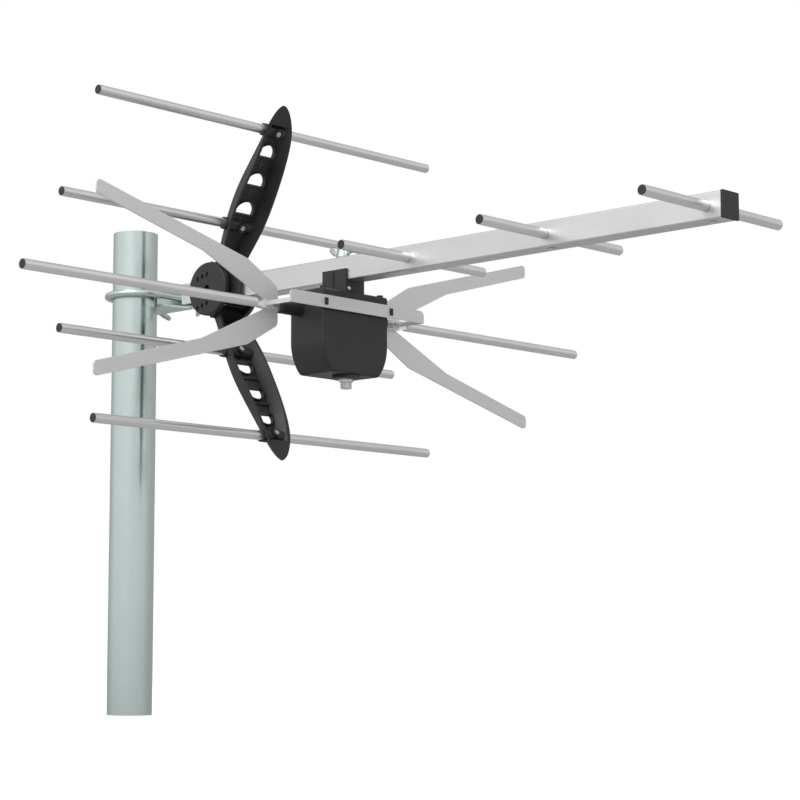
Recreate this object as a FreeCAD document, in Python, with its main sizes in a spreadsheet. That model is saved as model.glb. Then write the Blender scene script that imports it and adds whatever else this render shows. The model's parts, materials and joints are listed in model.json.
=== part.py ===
import FreeCAD, Part
import math
import os
from collections import namedtuple
import Sketcher
from FreeCAD import Placement, Rotation, Vector

# Outdoor television antenna on a short length of mast.
# The origin is the centre of the mast's cut foot. +X runs along the boom to its front,
# +Y across the boom and +Z up the mast. All sizes are in millimetres.

document = FreeCAD.newDocument("outdoor_antenna")
sheet = document.addObject("Spreadsheet::Sheet", "sizes")

DRIVING_SIZES = {
    "mast_diameter": (40.0, "outside of the galvanised mast"),
    "mast_wall": (2.5, "mast tube wall"),
    "mast_rise": (66.0, "top of the mast above the boom axis"),
    "turning_gap": (0.3, "room between the mast and the clamp that turns on it"),
    "fit_gap": (0.15, "room between a piece and the hole that holds it"),
    "boom_height": (366.0, "boom axis above the mast foot"),
    "boom_width": (18.0, "boom section across"),
    "boom_depth": (20.0, "boom section upright"),
    "boom_wall": (1.2, "boom wall"),
    "boom_corner": (1.2, "boom corner radius"),
    "boom_rear_x": (128.0, "rear end of the boom"),
    "boom_front_x": (646.5, "front end of the boom"),
    "cap_width": (20.0, "front cap flange across"),
    "cap_height": (20.2, "front cap flange upright"),
    "cap_thickness": (2.5, "front cap flange"),
    "cap_plug_length": (8.0, "part of the cap inside the boom"),
    "rod_diameter": (8.0, "every element tube"),
    "rod_wall": (0.9, "element tube wall"),
    "plug_diameter": (7.4, "head of an end plug"),
    "plug_head": (0.3, "thickness of an end plug head"),
    "plug_shank": (7.0, "length of an end plug inside its tube"),
    "director_length": (168.0, "each director tube"),
    "director_rear_x": (343.0, "first director"),
    "director_middle_x": (485.0, "second director"),
    "director_front_x": (633.0, "third director"),
    "rivet_diameter": (3.2, "blind rivet shank"),
    "rivet_head": (5.6, "blind rivet head diameter"),
    "rivet_head_height": (1.1, "blind rivet head height"),
    "hub_x": (118.4, "hub axis"),
    "hub_radius": (23.2, "round hub cheeks"),
    "hub_half_width": (20.0, "hub axis to the outer face of a cheek"),
    "cheek_thickness": (5.0, "hub cheek wall"),
    "hub_slot_width": (2.6, "each of the short slots in a cheek"),
    "hub_slot_height": (3.8, "length of a cheek slot"),
    "hub_slot_pitch": (5.8, "from one cheek slot to the next"),
    "hub_slot_rise": (12.6, "cheek slots above and below the hub axis"),
    "hub_slot_slope": (1.6, "each cheek slot lower than the one ahead of it"),
    "hub_slot_depth": (1.4, "depth of a cheek slot"),
    "hub_web": (9.0, "solid part between the cheeks, along the boom"),
    "hub_edge": (1.5, "rounded rims of the cheeks"),
    "pin_recess": (2.5, "hub pin inside the cheeks' outer faces"),
    "sleeve_front_x": (152.0, "front end of the sleeve that holds the boom"),
    "sleeve_wall": (3.2, "wall round the boom"),
    "arm_lean": (30.15, "reflector arm from the upright, in degrees"),
    "arm_face": (10.3, "front rim of an arm ahead of its rods' axes"),
    "arm_back": (2.2, "rear face of an arm behind its rods' axes"),
    "arm_wall": (1.6, "side walls of an arm"),
    "arm_floor": (2.0, "rear wall of an arm"),
    "arm_start": (14.0, "start of an arm from the hub axis, along the arm"),
    "tongue_end": (21.0, "end of the block that the hub's cheeks hold"),
    "grip_reach": (24.0, "edge of the hub, along the arm"),
    "grip_half": (14.0, "front half width of an arm in the hub"),
    "grip_back_half": (8.0, "rear half width there"),
    "neck_before": (16.0, "neck of an arm before its inner rod"),
    "neck_half": (16.8, "front half width at the neck"),
    "neck_back_half": (10.5, "rear half width at the neck"),
    "hip_past": (3.0, "hip of an arm past its inner rod"),
    "hip_half": (19.8, "front half width at the hip"),
    "hip_back_half": (13.6, "rear half width at the hip"),
    "broad_past": (33.0, "broadest part past the inner rod"),
    "broad_half": (20.2, "front half width at the broadest part"),
    "broad_back_half": (15.0, "rear half width at the broadest part"),
    "shoulder_before": (19.0, "shoulder of an arm before its outer rod"),
    "shoulder_half": (17.4, "front half width at the shoulder"),
    "shoulder_back_half": (10.6, "rear half width at the shoulder"),
    "shoulder_fall": (0.6, "front rim at the shoulder behind the straight rim"),
    "brow_past": (7.2, "lower edge of the closed tip past the outer rod"),
    "brow_half": (13.5, "front half width at that edge"),
    "brow_back_half": (7.3, "rear half width at that edge"),
    "brow_fall": (5.0, "front of the tip there, behind the straight rim"),
    "brow_rise": (0.5, "rear of the tip there, ahead of the straight rear face"),
    "bow_past": (15.4, "middle of the tip past the outer rod"),
    "bow_half": (9.8, "front half width there"),
    "bow_back_half": (5.7, "rear half width there"),
    "bow_fall": (7.0, "front of the tip there, behind the straight rim"),
    "bow_rise": (1.0, "rear of the tip there, ahead of the straight rear face"),
    "nose_past": (21.4, "front part of the tip past the outer rod"),
    "nose_half": (5.4, "front half width there"),
    "nose_back_half": (3.0, "rear half width there"),
    "nose_fall": (8.6, "front of the tip there, behind the straight rim"),
    "nose_rise": (1.5, "rear of the tip there, ahead of the straight rear face"),
    "tip_past": (24.0, "end of an arm past its outer rod"),
    "tip_half": (1.6, "front half width of the end"),
    "tip_back_half": (1.0, "rear half width of the end"),
    "tip_fall": (9.4, "front of the end behind the straight rim"),
    "tip_rise": (2.0, "rear of the end ahead of the straight rear face"),
    "window_past": (11.3, "foot of the first window past the inner rod"),
    "window_before": (23.0, "foot of the last window before the outer rod"),
    "window_half": (10.2, "half width of an arm window"),
    "window_last_half": (9.0, "half width of the last window"),
    "window_shoulder": (4.0, "straight sides of a window"),
    "window_crown": (10.8, "radius of a window's crown"),
    "window_last_crown": (9.4, "radius of the last window's crown"),
    "window_rim": (1.4, "rim round a window"),
    "rim_height": (1.8, "rim ahead of the arm's rear wall"),
    "rib_thickness": (1.4, "cross ribs"),
    "rib_height": (1.4, "cross ribs ahead of the arm's rear wall"),
    "rib_gap": (4.4, "cross rib past a window's crown"),
    "rib_half": (12.0, "half length of a cross rib"),
    "slit_half": (0.8, "half width of the slits between the windows"),
    "slit_end_gap": (1.6, "slits from the windows"),
    "slit_length": (5.0, "slit under the first window"),
    "inner_boss_half": (17.4, "half length of the sleeve round an inner rod"),
    "outer_boss_half": (13.0, "half length of the sleeve round an outer rod"),
    "seat_height": (5.6, "screw seat ahead of a rod's axis"),
    "seat_rim": (1.2, "rim round a screw seat"),
    "seat_bore": (2.9, "radius of the sunk seat"),
    "rod_screw_head": (4.4, "head of a reflector screw"),
    "rod_screw_head_height": (1.4, "head of a reflector screw"),
    "boss_radius": (5.4, "sleeve that carries a reflector rod"),
    "seat_radius": (4.4, "screw seat on that sleeve"),
    "screw_head": (7.0, "head of a pan screw"),
    "screw_head_height": (2.4, "head of a pan screw"),
    "screw_tip": (1.0, "end of a reflector screw ahead of its rod's axis"),
    "reflector_length": (388.0, "each reflector rod"),
    "outer_rod_x": (180.0, "outer reflector rods"),
    "outer_rod_rise": (131.5, "outer reflector rods above and below the boom axis"),
    "inner_rod_x": (136.0, "inner reflector rods"),
    "inner_rod_rise": (55.7, "inner reflector rods above and below the boom axis"),
    "dipole_x": (251.0, "long dipole rod"),
    "dipole_drop": (35.2, "long dipole rod below the boom axis"),
    "dipole_reach": (320.0, "outer end of each dipole half from the boom axis"),
    "tongue_inner": (24.0, "inner end of the flattened part of a dipole half"),
    "tongue_outer": (80.0, "outer end of that flat part"),
    "tube_start": (88.0, "where the dipole half is round again"),
    "tongue_thickness": (2.4, "flattened tube"),
    "tongue_height": (9.0, "flattened tube, upright"),
    "screw_reach": (70.5, "dipole screws from the boom axis"),
    "screw_diameter": (4.0, "dipole screws"),
    "sheet_thickness": (1.5, "bow-tie sheets and coupling bar"),
    "tie_root": (61.5, "inner edge of a bow-tie sheet from the boom axis"),
    "tie_root_rise": (15.8, "half height of a bow-tie sheet at its inner edge"),
    "tie_outer_kink": (95.0, "bend of the outer edge"),
    "tie_kink_rise": (34.8, "height of both bends above the dipole rod"),
    "tie_inner_kink": (143.0, "bend of the inner edge"),
    "tie_tip_far": (251.0, "end of a wing from the boom axis"),
    "tie_tip_upper": (75.6, "upper corner of a wing tip above the dipole rod"),
    "tie_tip_lower": (63.8, "lower corner of a wing tip above the dipole rod"),
    "tie_notch": (68.0, "point of the notch between the wings"),
    "tie_notch_radius": (6.0, "curve in the notch"),
    "tie_root_radius": (6.0, "curve of the inner corners"),
    "tie_bend_radius": (8.0, "curve of the bends"),
    "tie_tip_radius": (3.5, "curve of the wing tips"),
    "bar_front_x": (282.0, "front face of the coupling bar"),
    "bar_half_length": (78.5, "half length of the coupling bar"),
    "bar_height": (10.5, "coupling bar upright"),
    "bar_drop": (31.8, "middle of the coupling bar below the boom axis"),
    "bar_leg_height": (3.6, "narrow leg back to the dipole rod"),
    "bar_foot_inner": (65.0, "inner end of the foot under the dipole screw"),
    "bar_foot_rise": (3.4, "foot above and below the dipole screw"),
    "bar_corner": (4.6, "rounded corners of the bar"),
    "bar_slot_reach": (38.2, "slots in the coupling bar from its middle"),
    "tab_seat": (3.6, "seat behind the bar, inward from a slot"),
    "tab_seat_outer": (1.7, "seat behind the bar, outward from a slot"),
    "tab_seat_rise": (4.2, "seat above and below the middle of the bar"),
    "tab_proud": (1.0, "tab through the bar"),
    "dipole_nut": (3.2, "nut behind a bow-tie sheet"),
    "dipole_nut_across": (7.0, "that nut across flats"),
    "screw_past_nut": (0.6, "end of a dipole screw past its nut"),
    "bar_slot_width": (3.4, "slot across"),
    "bar_slot_height": (6.0, "slot upright"),
    "box_rear_x": (240.0, "rear face of the dipole box"),
    "box_front_x": (278.5, "front face of the dipole box"),
    "box_half_width": (38.4, "half width of the dipole box"),
    "box_wall": (2.2, "dipole box wall"),
    "box_side_radius": (38.0, "curve of the lower sides"),
    "box_curve_drop": (60.0, "start of that curve below the boom axis"),
    "box_bottom_drop": (87.8, "box floor below the boom axis"),
    "box_bottom_half": (27.6, "half width of the box floor"),
    "box_top_drop": (27.6, "upper edge of the box body below the boom axis"),
    "box_edge": (2.4, "rounded edges of the box"),
    "box_foot_radius": (6.0, "rounded lower corners of the box"),
    "lid_edge": (2.2, "rounded edges of the lid"),
    "gasket_thickness": (0.8, "seal between box and lid"),
    "gasket_inset": (0.6, "seal inside the outer faces"),
    "lid_top_drop": (19.5, "lid top below the boom axis"),
    "lid_wall": (2.4, "lid wall"),
    "post_radius": (3.2, "screw posts in the box corners"),
    "post_inset": (5.0, "screw posts from the outer faces"),
    "post_depth": (18.0, "length of a screw post"),
    "lid_screw_diameter": (2.9, "lid screws"),
    "lid_screw_head": (5.4, "head of a lid screw"),
    "lid_screw_length": (16.0, "lid screw under its head"),
    "lid_screw_high": (1.8, "head of a lid screw"),
    "lug_radius": (5.9, "sleeve on each side of the box"),
    "lug_reach": (61.0, "outer end of that sleeve from the boom axis"),
    "saddle_rear_x": (250.0, "rear end of the boom saddle"),
    "saddle_length": (27.0, "boom saddle along the boom"),
    "saddle_cheek": (1.8, "saddle cheek wall"),
    "saddle_top_drop": (0.6, "top of the saddle cheeks below the boom axis"),
    "groove_width": (1.4, "groove down the middle of a cheek"),
    "groove_depth": (0.7, "depth of that groove"),
    "bolt_proud": (3.0, "saddle bolt above its nut"),
    "bolt_diameter": (6.0, "clamp bolts"),
    "bolt_head_across": (10.0, "bolt head and nut across flats"),
    "bolt_head_height": (4.0, "bolt head"),
    "washer_diameter": (12.0, "washers"),
    "washer_thickness": (1.2, "washers"),
    "wing_nut_height": (6.5, "round middle of a wing nut"),
    "wing_foot_rise": (0.8, "lowest part of a wing above the nut's seat"),
    "wing_knee": (12.2, "bend in a wing's lower edge from the axis"),
    "wing_knee_rise": (3.5, "that bend above the seat"),
    "wing_span": (17.0, "end of a wing from the axis"),
    "wing_span_rise": (7.7, "end of a wing above the seat"),
    "wing_crest": (15.3, "highest part of a wing from the axis"),
    "wing_height": (10.4, "highest part of a wing above the seat"),
    "wing_heel": (11.2, "inner end of that part from the axis"),
    "wing_heel_rise": (9.8, "that end above the seat"),
    "long_wing": (6.0, "wings of the clamp nuts longer than the others by"),
    "wing_turn": (37.0, "clamp nuts turned from level, in degrees"),
    "wing_thickness": (2.6, "wing thickness"),
    "wing_nut_radius": (6.0, "round middle of a wing nut at its seat"),
    "wing_nut_taper": (1.6, "wing nut narrower at its top"),
    "connector_x": (267.0, "aerial socket axis"),
    "connector_drop": (98.4, "lower end of the aerial socket below the boom axis"),
    "connector_radius": (4.75, "threaded barrel of the aerial socket"),
    "connector_bore": (2.4, "mouth of the aerial socket"),
    "collar_radius": (11.4, "round collar under the box"),
    "collar_thickness": (2.8, "collar under the box"),
    "nut_across": (11.0, "socket nut across flats"),
    "thread_relief": (0.3, "barrel under the nut, smaller than the free thread"),
    "nut_thickness": (2.2, "socket nut"),
    "socket_flange": (2.0, "socket flange inside the box"),
    "socket_mouth": (1.0, "insulator inside the mouth of the socket"),
    "contact_radius": (0.6, "centre contact"),
    "board_drop": (78.0, "circuit board below the boom axis"),
    "board_thickness": (1.6, "circuit board"),
    "board_half_width": (29.0, "half width of the circuit board"),
    "board_margin": (3.0, "circuit board inside the box walls"),
    "rest_inset": (8.4, "board rests from the outer faces"),
    "rest_reach": (17.4, "board rests from the boom axis"),
    "core_length": (14.0, "two-hole ferrite core along the boom"),
    "core_width": (14.0, "two-hole ferrite core across the boom"),
    "core_height": (7.5, "two-hole ferrite core"),
    "core_hole": (3.4, "holes in the ferrite core"),
    "terminal_width": (7.0, "brass terminal strip"),
    "terminal_thickness": (0.8, "brass terminal strip"),
    "bend_radius": (27.0, "middle line of the U-bolt's bend"),
    "bolt_rise": (8.7, "U-bolt above the boom axis"),
    "bolt_end_reach": (55.0, "threaded ends of the U-bolt from the mast's axis"),
    "plate_reach": (38.0, "joint face of the clamp jaw and the bracket from the mast's axis"),
    "plate_thickness": (2.0, "pressed steel of the jaw and the bracket"),
    "jaw_half_width": (34.0, "half width of the jaw and the bracket's web"),
    "jaw_height": (20.4, "jaw from flange to flange"),
    "jaw_horn_reach": (9.0, "ends of the jaw's horns from the mast's axis"),
    "jaw_horn_half": (28.0, "half width over the jaw's horns"),
    "bracket_half": (14.5, "half width over the bracket's ears"),
    "bracket_tail_x": (-36.0, "end of the bracket's plate behind the mast"),
    "crank_x": (40.0, "start of the bracket's slanting part"),
    "ear_x": (80.0, "rear end of the bracket's ears"),
    "ear_turn": (4.0, "overlap of the slanting part with the far ear"),
    "bracket_half_height": (9.0, "bracket ears above and below the boom axis"),
    "jaw_spare": (1.0, "room for tools beyond the jaw"),
    "cap_round": (0.5, "rounded corners of the cap"),
    "cap_plug_wall": (1.6, "wall of the cap's plug"),
}

CLOSE = 1e-3
RIGHT_ANGLE = 90
SQUARE_IN_CIRCLE = 0.7

Circle = namedtuple("Circle", "across up radius")
NODES = {}


class Size:
    """A number, with the sheet expression that gives it."""

    def __init__(self, value, text):
        self.value = value
        self.text = text

    def __add__(self, other):
        other = sized(other)
        return Size(self.value + other.value, f"({self.text} + {other.text})")

    def __radd__(self, other):
        return sized(other) + self

    def __sub__(self, other):
        other = sized(other)
        return Size(self.value - other.value, f"({self.text} - {other.text})")

    def __rsub__(self, other):
        return sized(other) - self

    def __mul__(self, other):
        other = sized(other)
        return Size(self.value * other.value, f"({self.text} * {other.text})")

    def __rmul__(self, other):
        return sized(other) * self

    def __truediv__(self, other):
        other = sized(other)
        return Size(self.value / other.value, f"({self.text} / {other.text})")

    def __neg__(self):
        return sized(0) - self


def sized(number):
    if isinstance(number, Size):
        return number
    return Size(float(number), f"({float(number)})")


def sine(angle):
    return Size(math.sin(math.radians(angle.value)), f"sin({angle.text} * 1 deg)")


def cosine(angle):
    return Size(math.cos(math.radians(angle.value)), f"cos({angle.text} * 1 deg)")


def fill_sheet():
    """Writes the driving sizes into the sheet and gives each its alias."""
    for row, (alias, (value, note)) in enumerate(DRIVING_SIZES.items(), start=1):
        sheet.set(f"A{row}", note)
        sheet.set(f"B{row}", str(value))
        sheet.setAlias(f"B{row}", alias)
    document.recompute()


def read_sizes():
    """Named sizes as attributes, each bound to its cell."""
    sizes = {alias: Size(float(sheet.get(alias)), f"sizes.{alias}") for alias in DRIVING_SIZES}
    return namedtuple("Sizes", sizes)(**sizes)


def drive(thing, name, size):
    thing.setExpression(name, sized(size).text)


def place(thing, position, rotation=Rotation()):
    """Puts a piece at a position given in sizes."""
    position = [sized(part) for part in position]
    thing.Placement = Placement(Vector(*[part.value for part in position]), rotation)
    for axis, part in zip("xyz", position):
        drive(thing, f"Placement.Base.{axis}", part)


# Solids made from primitives

ALONG = {
    "+X": Rotation(Vector(0, 1, 0), RIGHT_ANGLE),
    "-X": Rotation(Vector(0, 1, 0), -RIGHT_ANGLE),
    "+Y": Rotation(Vector(1, 0, 0), -RIGHT_ANGLE),
    "-Y": Rotation(Vector(1, 0, 0), RIGHT_ANGLE),
    "+Z": Rotation(),
    "-Z": Rotation(Vector(1, 0, 0), 2 * RIGHT_ANGLE),
}


def add(kind, label):
    thing = document.addObject(kind, label)
    thing.Label = label
    return thing


def block(label, low, high):
    thing = add("Part::Box", label)
    low = [sized(part) for part in low]
    for name, start, end in zip(("Length", "Width", "Height"), low, high):
        drive(thing, name, end - start)
    place(thing, low)
    return thing


def cylinder(label, foot, direction, radius, length):
    thing = add("Part::Cylinder", label)
    drive(thing, "Radius", radius)
    drive(thing, "Height", length)
    place(thing, foot, ALONG[direction])
    return thing


def cone(label, foot, direction, radius, end_radius, length):
    thing = add("Part::Cone", label)
    drive(thing, "Radius1", radius)
    drive(thing, "Radius2", end_radius)
    drive(thing, "Height", length)
    place(thing, foot, ALONG[direction])
    return thing


def hexagon(label, foot, direction, across, length):
    thing = add("Part::Prism", label)
    thing.Polygon = 6
    drive(thing, "Circumradius", across / math.sqrt(3))
    drive(thing, "Height", length)
    place(thing, foot, ALONG[direction])
    return thing


def fuse(label, pieces):
    thing = add("Part::MultiFuse", label)
    thing.Shapes = pieces
    thing.Refine = True
    return thing


def cut(label, base, tools):
    thing = add("Part::Cut", label)
    thing.Base = base
    thing.Tool = tools[0] if len(tools) == 1 else fuse(label + "_tools", tools)
    thing.Refine = True
    return thing


def group(label, pieces):
    thing = add("Part::Compound", label)
    thing.Links = pieces
    return thing


# Solids made from sketches

ACROSS = Rotation(Vector(0, 0, 1), RIGHT_ANGLE)


def new_body(label):
    return add("PartDesign::Body", label)


def add_loop(sketch, corners):
    """A closed outline, drawn anticlockwise. A third value in a corner is the radius of the
    outward arc that leaves it."""
    ends = [tuple(sized(part) for part in corner) for corner in corners]
    first = len(sketch.Geometry)
    for start, end in zip(ends, ends[1:] + ends[:1]):
        here = Vector(start[0].value, start[1].value, 0)
        there = Vector(end[0].value, end[1].value, 0)
        if len(start) == 3:
            sketch.addGeometry(bulge(here, there, start[2].value), False)
        else:
            sketch.addGeometry(Part.LineSegment(here, there), False)
    for number, corner in enumerate(ends):
        this = first + number
        following = first + (number + 1) % len(ends)
        sketch.addConstraint(Sketcher.Constraint("Coincident", this, 2, following, 1))
        fix(sketch, "DistanceX", this, corner[0])
        fix(sketch, "DistanceY", this, corner[1])
        if len(corner) == 3:
            radius = sketch.addConstraint(Sketcher.Constraint("Radius", this, corner[2].value))
            drive(sketch, f"Constraints[{radius}]", corner[2])


def bulge(here, there, radius):
    """The arc from here to there, anticlockwise, about a centre on its left."""
    middle = (here + there) / 2
    half = (there - here).Length / 2
    left = Vector(here.y - there.y, there.x - here.x, 0).normalize()
    centre = middle + left * math.sqrt(radius * radius - half * half)
    start = math.atan2(here.y - centre.y, here.x - centre.x)
    end = math.atan2(there.y - centre.y, there.x - centre.x)
    return Part.ArcOfCircle(Part.Circle(centre, Vector(0, 0, 1), radius), start, end)


def fix(sketch, kind, geometry, size, point=1):
    number = sketch.addConstraint(Sketcher.Constraint(kind, -1, 1, geometry, point, size.value))
    drive(sketch, f"Constraints[{number}]", size)


def add_circle(sketch, circle):
    across, up, radius = (sized(part) for part in circle)
    centre = Vector(across.value, up.value, 0)
    number = sketch.addGeometry(Part.Circle(centre, Vector(0, 0, 1), radius.value), False)
    fix(sketch, "DistanceX", number, across, 3)
    fix(sketch, "DistanceY", number, up, 3)
    constraint = sketch.addConstraint(Sketcher.Constraint("Radius", number, radius.value))
    drive(sketch, f"Constraints[{constraint}]", radius)


def draw(body, plane, height, loops):
    """A sketch on one of the body's planes, raised along the plane's own world axis."""
    role = plane + "_Plane"
    sketch = body.newObject("Sketcher::SketchObject", body.Label + "_sketch")
    origin_plane = [part for part in body.Origin.OriginFeatures if part.Role == role][0]
    sketch.AttachmentSupport = (origin_plane, [""])
    sketch.MapMode = "FlatFace"
    height = -sized(height) if plane == "XZ" else sized(height)
    drive(sketch, "AttachmentOffset.Base.z", height)
    for loop in loops:
        if isinstance(loop, Circle):
            add_circle(sketch, loop)
        else:
            add_loop(sketch, loop)
    return sketch


def pad(body, plane, low, high, *loops):
    """Adds material between two heights along the axis that the plane faces."""
    feature = body.newObject("PartDesign::Pad", body.Label + "_pad")
    feature.Profile = draw(body, plane, high if plane == "XZ" else low, loops)
    drive(feature, "Length", high - low)
    feature.Refine = True
    return feature


def pocket(body, plane, low, high, *loops):
    """Removes material between two heights along the axis that the plane faces."""
    feature = body.newObject("PartDesign::Pocket", body.Label + "_pocket")
    feature.Profile = draw(body, plane, low if plane == "XZ" else high, loops)
    drive(feature, "Length", high - low)
    feature.Refine = True
    return feature


def rectangle(left, low, right, high):
    return [(left, low), (right, low), (right, high), (left, high)]


def turned(body, profile):
    """Turns a profile, drawn as (radius, height), about the body's own Z axis."""
    feature = body.newObject("PartDesign::Revolution", body.Label + "_turned")
    sketch = draw(body, "XZ", 0, [profile])
    feature.Profile = sketch
    feature.ReferenceAxis = (sketch, ["V_Axis"])
    feature.Angle = 4 * RIGHT_ANGLE
    return feature


def chosen_edges(shape, test):
    return [f"Edge{number}" for number, edge in enumerate(shape.Edges, start=1) if test(edge)]


def round_off(body, radius, test):
    """Rounds the edges of the body so far that pass the test."""
    document.recompute()
    tip = body.Tip
    feature = body.newObject("PartDesign::Fillet", body.Label + "_round")
    feature.Base = (tip, chosen_edges(tip.Shape, test))
    drive(feature, "Radius", radius)
    return feature


def along(axis, *spots):
    """A test for straight edges along an axis, at the given places across it if any."""
    number = "XYZ".index(axis)
    across = [index for index in range(3) if index != number]
    values = [[sized(part).value for part in spot] for spot in spots]

    def test(edge):
        if not isinstance(edge.Curve, (Part.Line, Part.LineSegment)):
            return False
        first, last = edge.Vertexes[0].Point, edge.Vertexes[-1].Point
        straight = all(abs(first[index] - last[index]) < CLOSE for index in across)
        near = not values or any(
            all(abs(first[index] - part) < CLOSE for index, part in zip(across, spot))
            for spot in values)
        return straight and near

    return test


def on_faces(axis, reach):
    """A test for edges that lie wholly on either face at that reach across an axis."""
    number = "XYZ".index(axis)

    def test(edge):
        return all(abs(abs(vertex.Point[number]) - reach.value) < CLOSE for vertex in edge.Vertexes)

    return test


def node(label, thing):
    thing.Label = label
    NODES[label] = thing
    return thing


def mirrored(label, source, across):
    """The same piece on the other side of the boom axis, across Y or across Z."""
    thing = add("Part::Mirroring", label)
    thing.Source = source
    thing.Normal = Vector(0, 1, 0) if across == "Y" else Vector(0, 0, 1)
    if across == "Z":
        drive(thing, "Base.z", s.boom_height)
    return thing


fill_sheet()
s = read_sizes()

boom_top = s.boom_height + s.boom_depth / 2
boom_floor = s.boom_height - s.boom_depth / 2
rod_radius = s.rod_diameter / 2
rod_hole = rod_radius + s.fit_gap
bolt_radius = s.bolt_diameter / 2
bolt_hole = bolt_radius + s.fit_gap
rivet_radius = s.rivet_diameter / 2
rivet_hole = rivet_radius + s.fit_gap
screw_radius = s.screw_diameter / 2
screw_hole = screw_radius + s.fit_gap
lid_hole = s.lid_screw_diameter / 2 + s.fit_gap
hub_screw_x = (s.hub_web + s.boom_rear_x + s.sleeve_front_x) / 2
dipole_z = s.boom_height - s.dipole_drop
tongue_front_x = s.dipole_x + s.tongue_thickness / 2
tongue_rear_x = s.dipole_x - s.tongue_thickness / 2
socket_hole = s.connector_radius - s.thread_relief + s.fit_gap
saddle_x = s.saddle_rear_x + s.saddle_length / 2
lid_top = s.boom_height - s.lid_top_drop
body_top = s.boom_height - s.box_top_drop
lid_floor = body_top + s.gasket_thickness
box_floor = s.boom_height - s.box_bottom_drop
post_ends = (s.box_rear_x + s.post_inset, s.box_front_x - s.post_inset)
post_reach = s.box_half_width - s.post_inset
post_spots = [(x, y) for y in (post_reach, -post_reach) for x in post_ends]
DIRECTORS = [("director_rod_rear", s.director_rear_x), ("director_rod_middle", s.director_middle_x),
             ("director_rod_front", s.director_front_x)]


# Mast and its clamp

def mast_tube():
    body = new_body("mast_tube")
    outer = Circle(0, 0, s.mast_diameter / 2)
    inner = Circle(0, 0, s.mast_diameter / 2 - s.mast_wall)
    pad(body, "XY", sized(0), s.boom_height + s.mast_rise, outer, inner)
    node("mast_tube", body)


def u_bolt():
    """Round bar bent round the near side of the mast, with a small running gap."""
    inside = s.mast_diameter / 2 + s.turning_gap
    bend_x = s.bend_radius - bolt_radius - inside
    end = s.bolt_end_reach - bend_x
    body = new_body("u_bolt")
    path = draw(body, "XY", 0, [])
    reach = s.bend_radius.value
    path.addGeometry(Part.LineSegment(Vector(end.value, -reach, 0), Vector(0, -reach, 0)), False)
    circle = Part.Circle(Vector(), Vector(0, 0, 1), reach)
    path.addGeometry(Part.ArcOfCircle(circle, math.pi / 2, 3 * math.pi / 2), False)
    path.addGeometry(Part.LineSegment(Vector(0, reach, 0), Vector(end.value, reach, 0)), False)
    path.addConstraint(Sketcher.Constraint("Tangent", 0, 2, 1, 2))
    path.addConstraint(Sketcher.Constraint("Tangent", 1, 1, 2, 1))
    path.addConstraint(Sketcher.Constraint("Horizontal", 0))
    fix(path, "DistanceX", 0, end)
    fix(path, "DistanceY", 0, -s.bend_radius)
    fix(path, "DistanceX", 2, end, 2)
    fix(path, "DistanceY", 2, s.bend_radius, 2)
    fix(path, "DistanceX", 1, sized(0), 3)
    fix(path, "DistanceY", 1, sized(0), 3)
    pipe = body.newObject("PartDesign::AdditivePipe", "u_bolt_pipe")
    pipe.Profile = draw(body, "YZ", end, [Circle(-s.bend_radius, 0, bolt_radius)])
    pipe.Spine = (path, ["Edge1", "Edge2", "Edge3"])
    place(body, (0, bend_x, s.boom_height + s.bolt_rise), ACROSS)
    node("u_bolt", body)


def clamp_jaw():
    """Pressed channel whose two flanges are notched to bear on the mast."""
    body = new_body("clamp_jaw")
    rear = s.plate_reach - s.plate_thickness
    half = s.jaw_height / 2
    outline = [(s.jaw_horn_reach, -s.jaw_horn_half), (rear, -s.jaw_half_width),
               (s.plate_reach, -s.jaw_half_width), (s.plate_reach, s.jaw_half_width),
               (rear, s.jaw_half_width), (s.jaw_horn_reach, s.jaw_horn_half)]
    pad(body, "XY", -half, half, outline)
    inside = rectangle(s.jaw_horn_reach - s.jaw_spare, -s.jaw_half_width - s.jaw_spare,
                       rear, s.jaw_half_width + s.jaw_spare)
    pocket(body, "XY", -half + s.plate_thickness, half - s.plate_thickness, inside)
    pocket(body, "XY", -half, half, Circle(0, 0, s.mast_diameter / 2 + s.turning_gap))
    pocket(body, "YZ", rear, s.plate_reach, *[Circle(side * s.bend_radius, 0, bolt_hole) for side in (-1, 1)])
    place(body, (0, 0, s.boom_height + s.bolt_rise), ACROSS)
    node("clamp_jaw", body)


def mast_bracket():
    """Bent strip: a plate beside the mast, a slanting part, and two ears that reach into the hub."""
    body = new_body("mast_bracket")
    thick = s.plate_thickness
    low, high = -s.bracket_half_height, s.bracket_half_height
    outer, inner = s.bracket_half, s.bracket_half - thick
    far = s.plate_reach + thick
    plate = rectangle(s.bracket_tail_x, s.plate_reach, s.crank_x + thick / 2, far)
    pad(body, "XY", s.bolt_rise - s.jaw_height / 2, s.bolt_rise + s.jaw_height / 2, plate)
    slant = [(s.crank_x, s.plate_reach), (s.ear_x, inner), (s.ear_x + s.ear_turn, inner),
             (s.ear_x + s.ear_turn, outer), (s.ear_x + thick / 2, outer), (s.crank_x + thick / 2, far),
             (s.crank_x, far)]
    pad(body, "XY", low, high, slant)
    for side_low, side_high in ((-outer, -inner), (inner, outer)):
        pad(body, "XZ", side_low, side_high, rectangle(s.ear_x, low, s.hub_x, high))
        pad(body, "XZ", side_low, side_high, Circle(s.hub_x, 0, high))
    pad(body, "XY", low, high, rectangle(s.ear_x, -inner, s.ear_x + thick, inner))
    pocket(body, "XZ", -outer, outer, Circle(s.hub_x, 0, bolt_hole))
    holes = [Circle(side * s.bend_radius, s.bolt_rise, bolt_hole) for side in (-1, 1)]
    pocket(body, "XZ", s.plate_reach, far, *holes)
    place(body, (0, 0, s.boom_height))
    node("mast_bracket", body)


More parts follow.
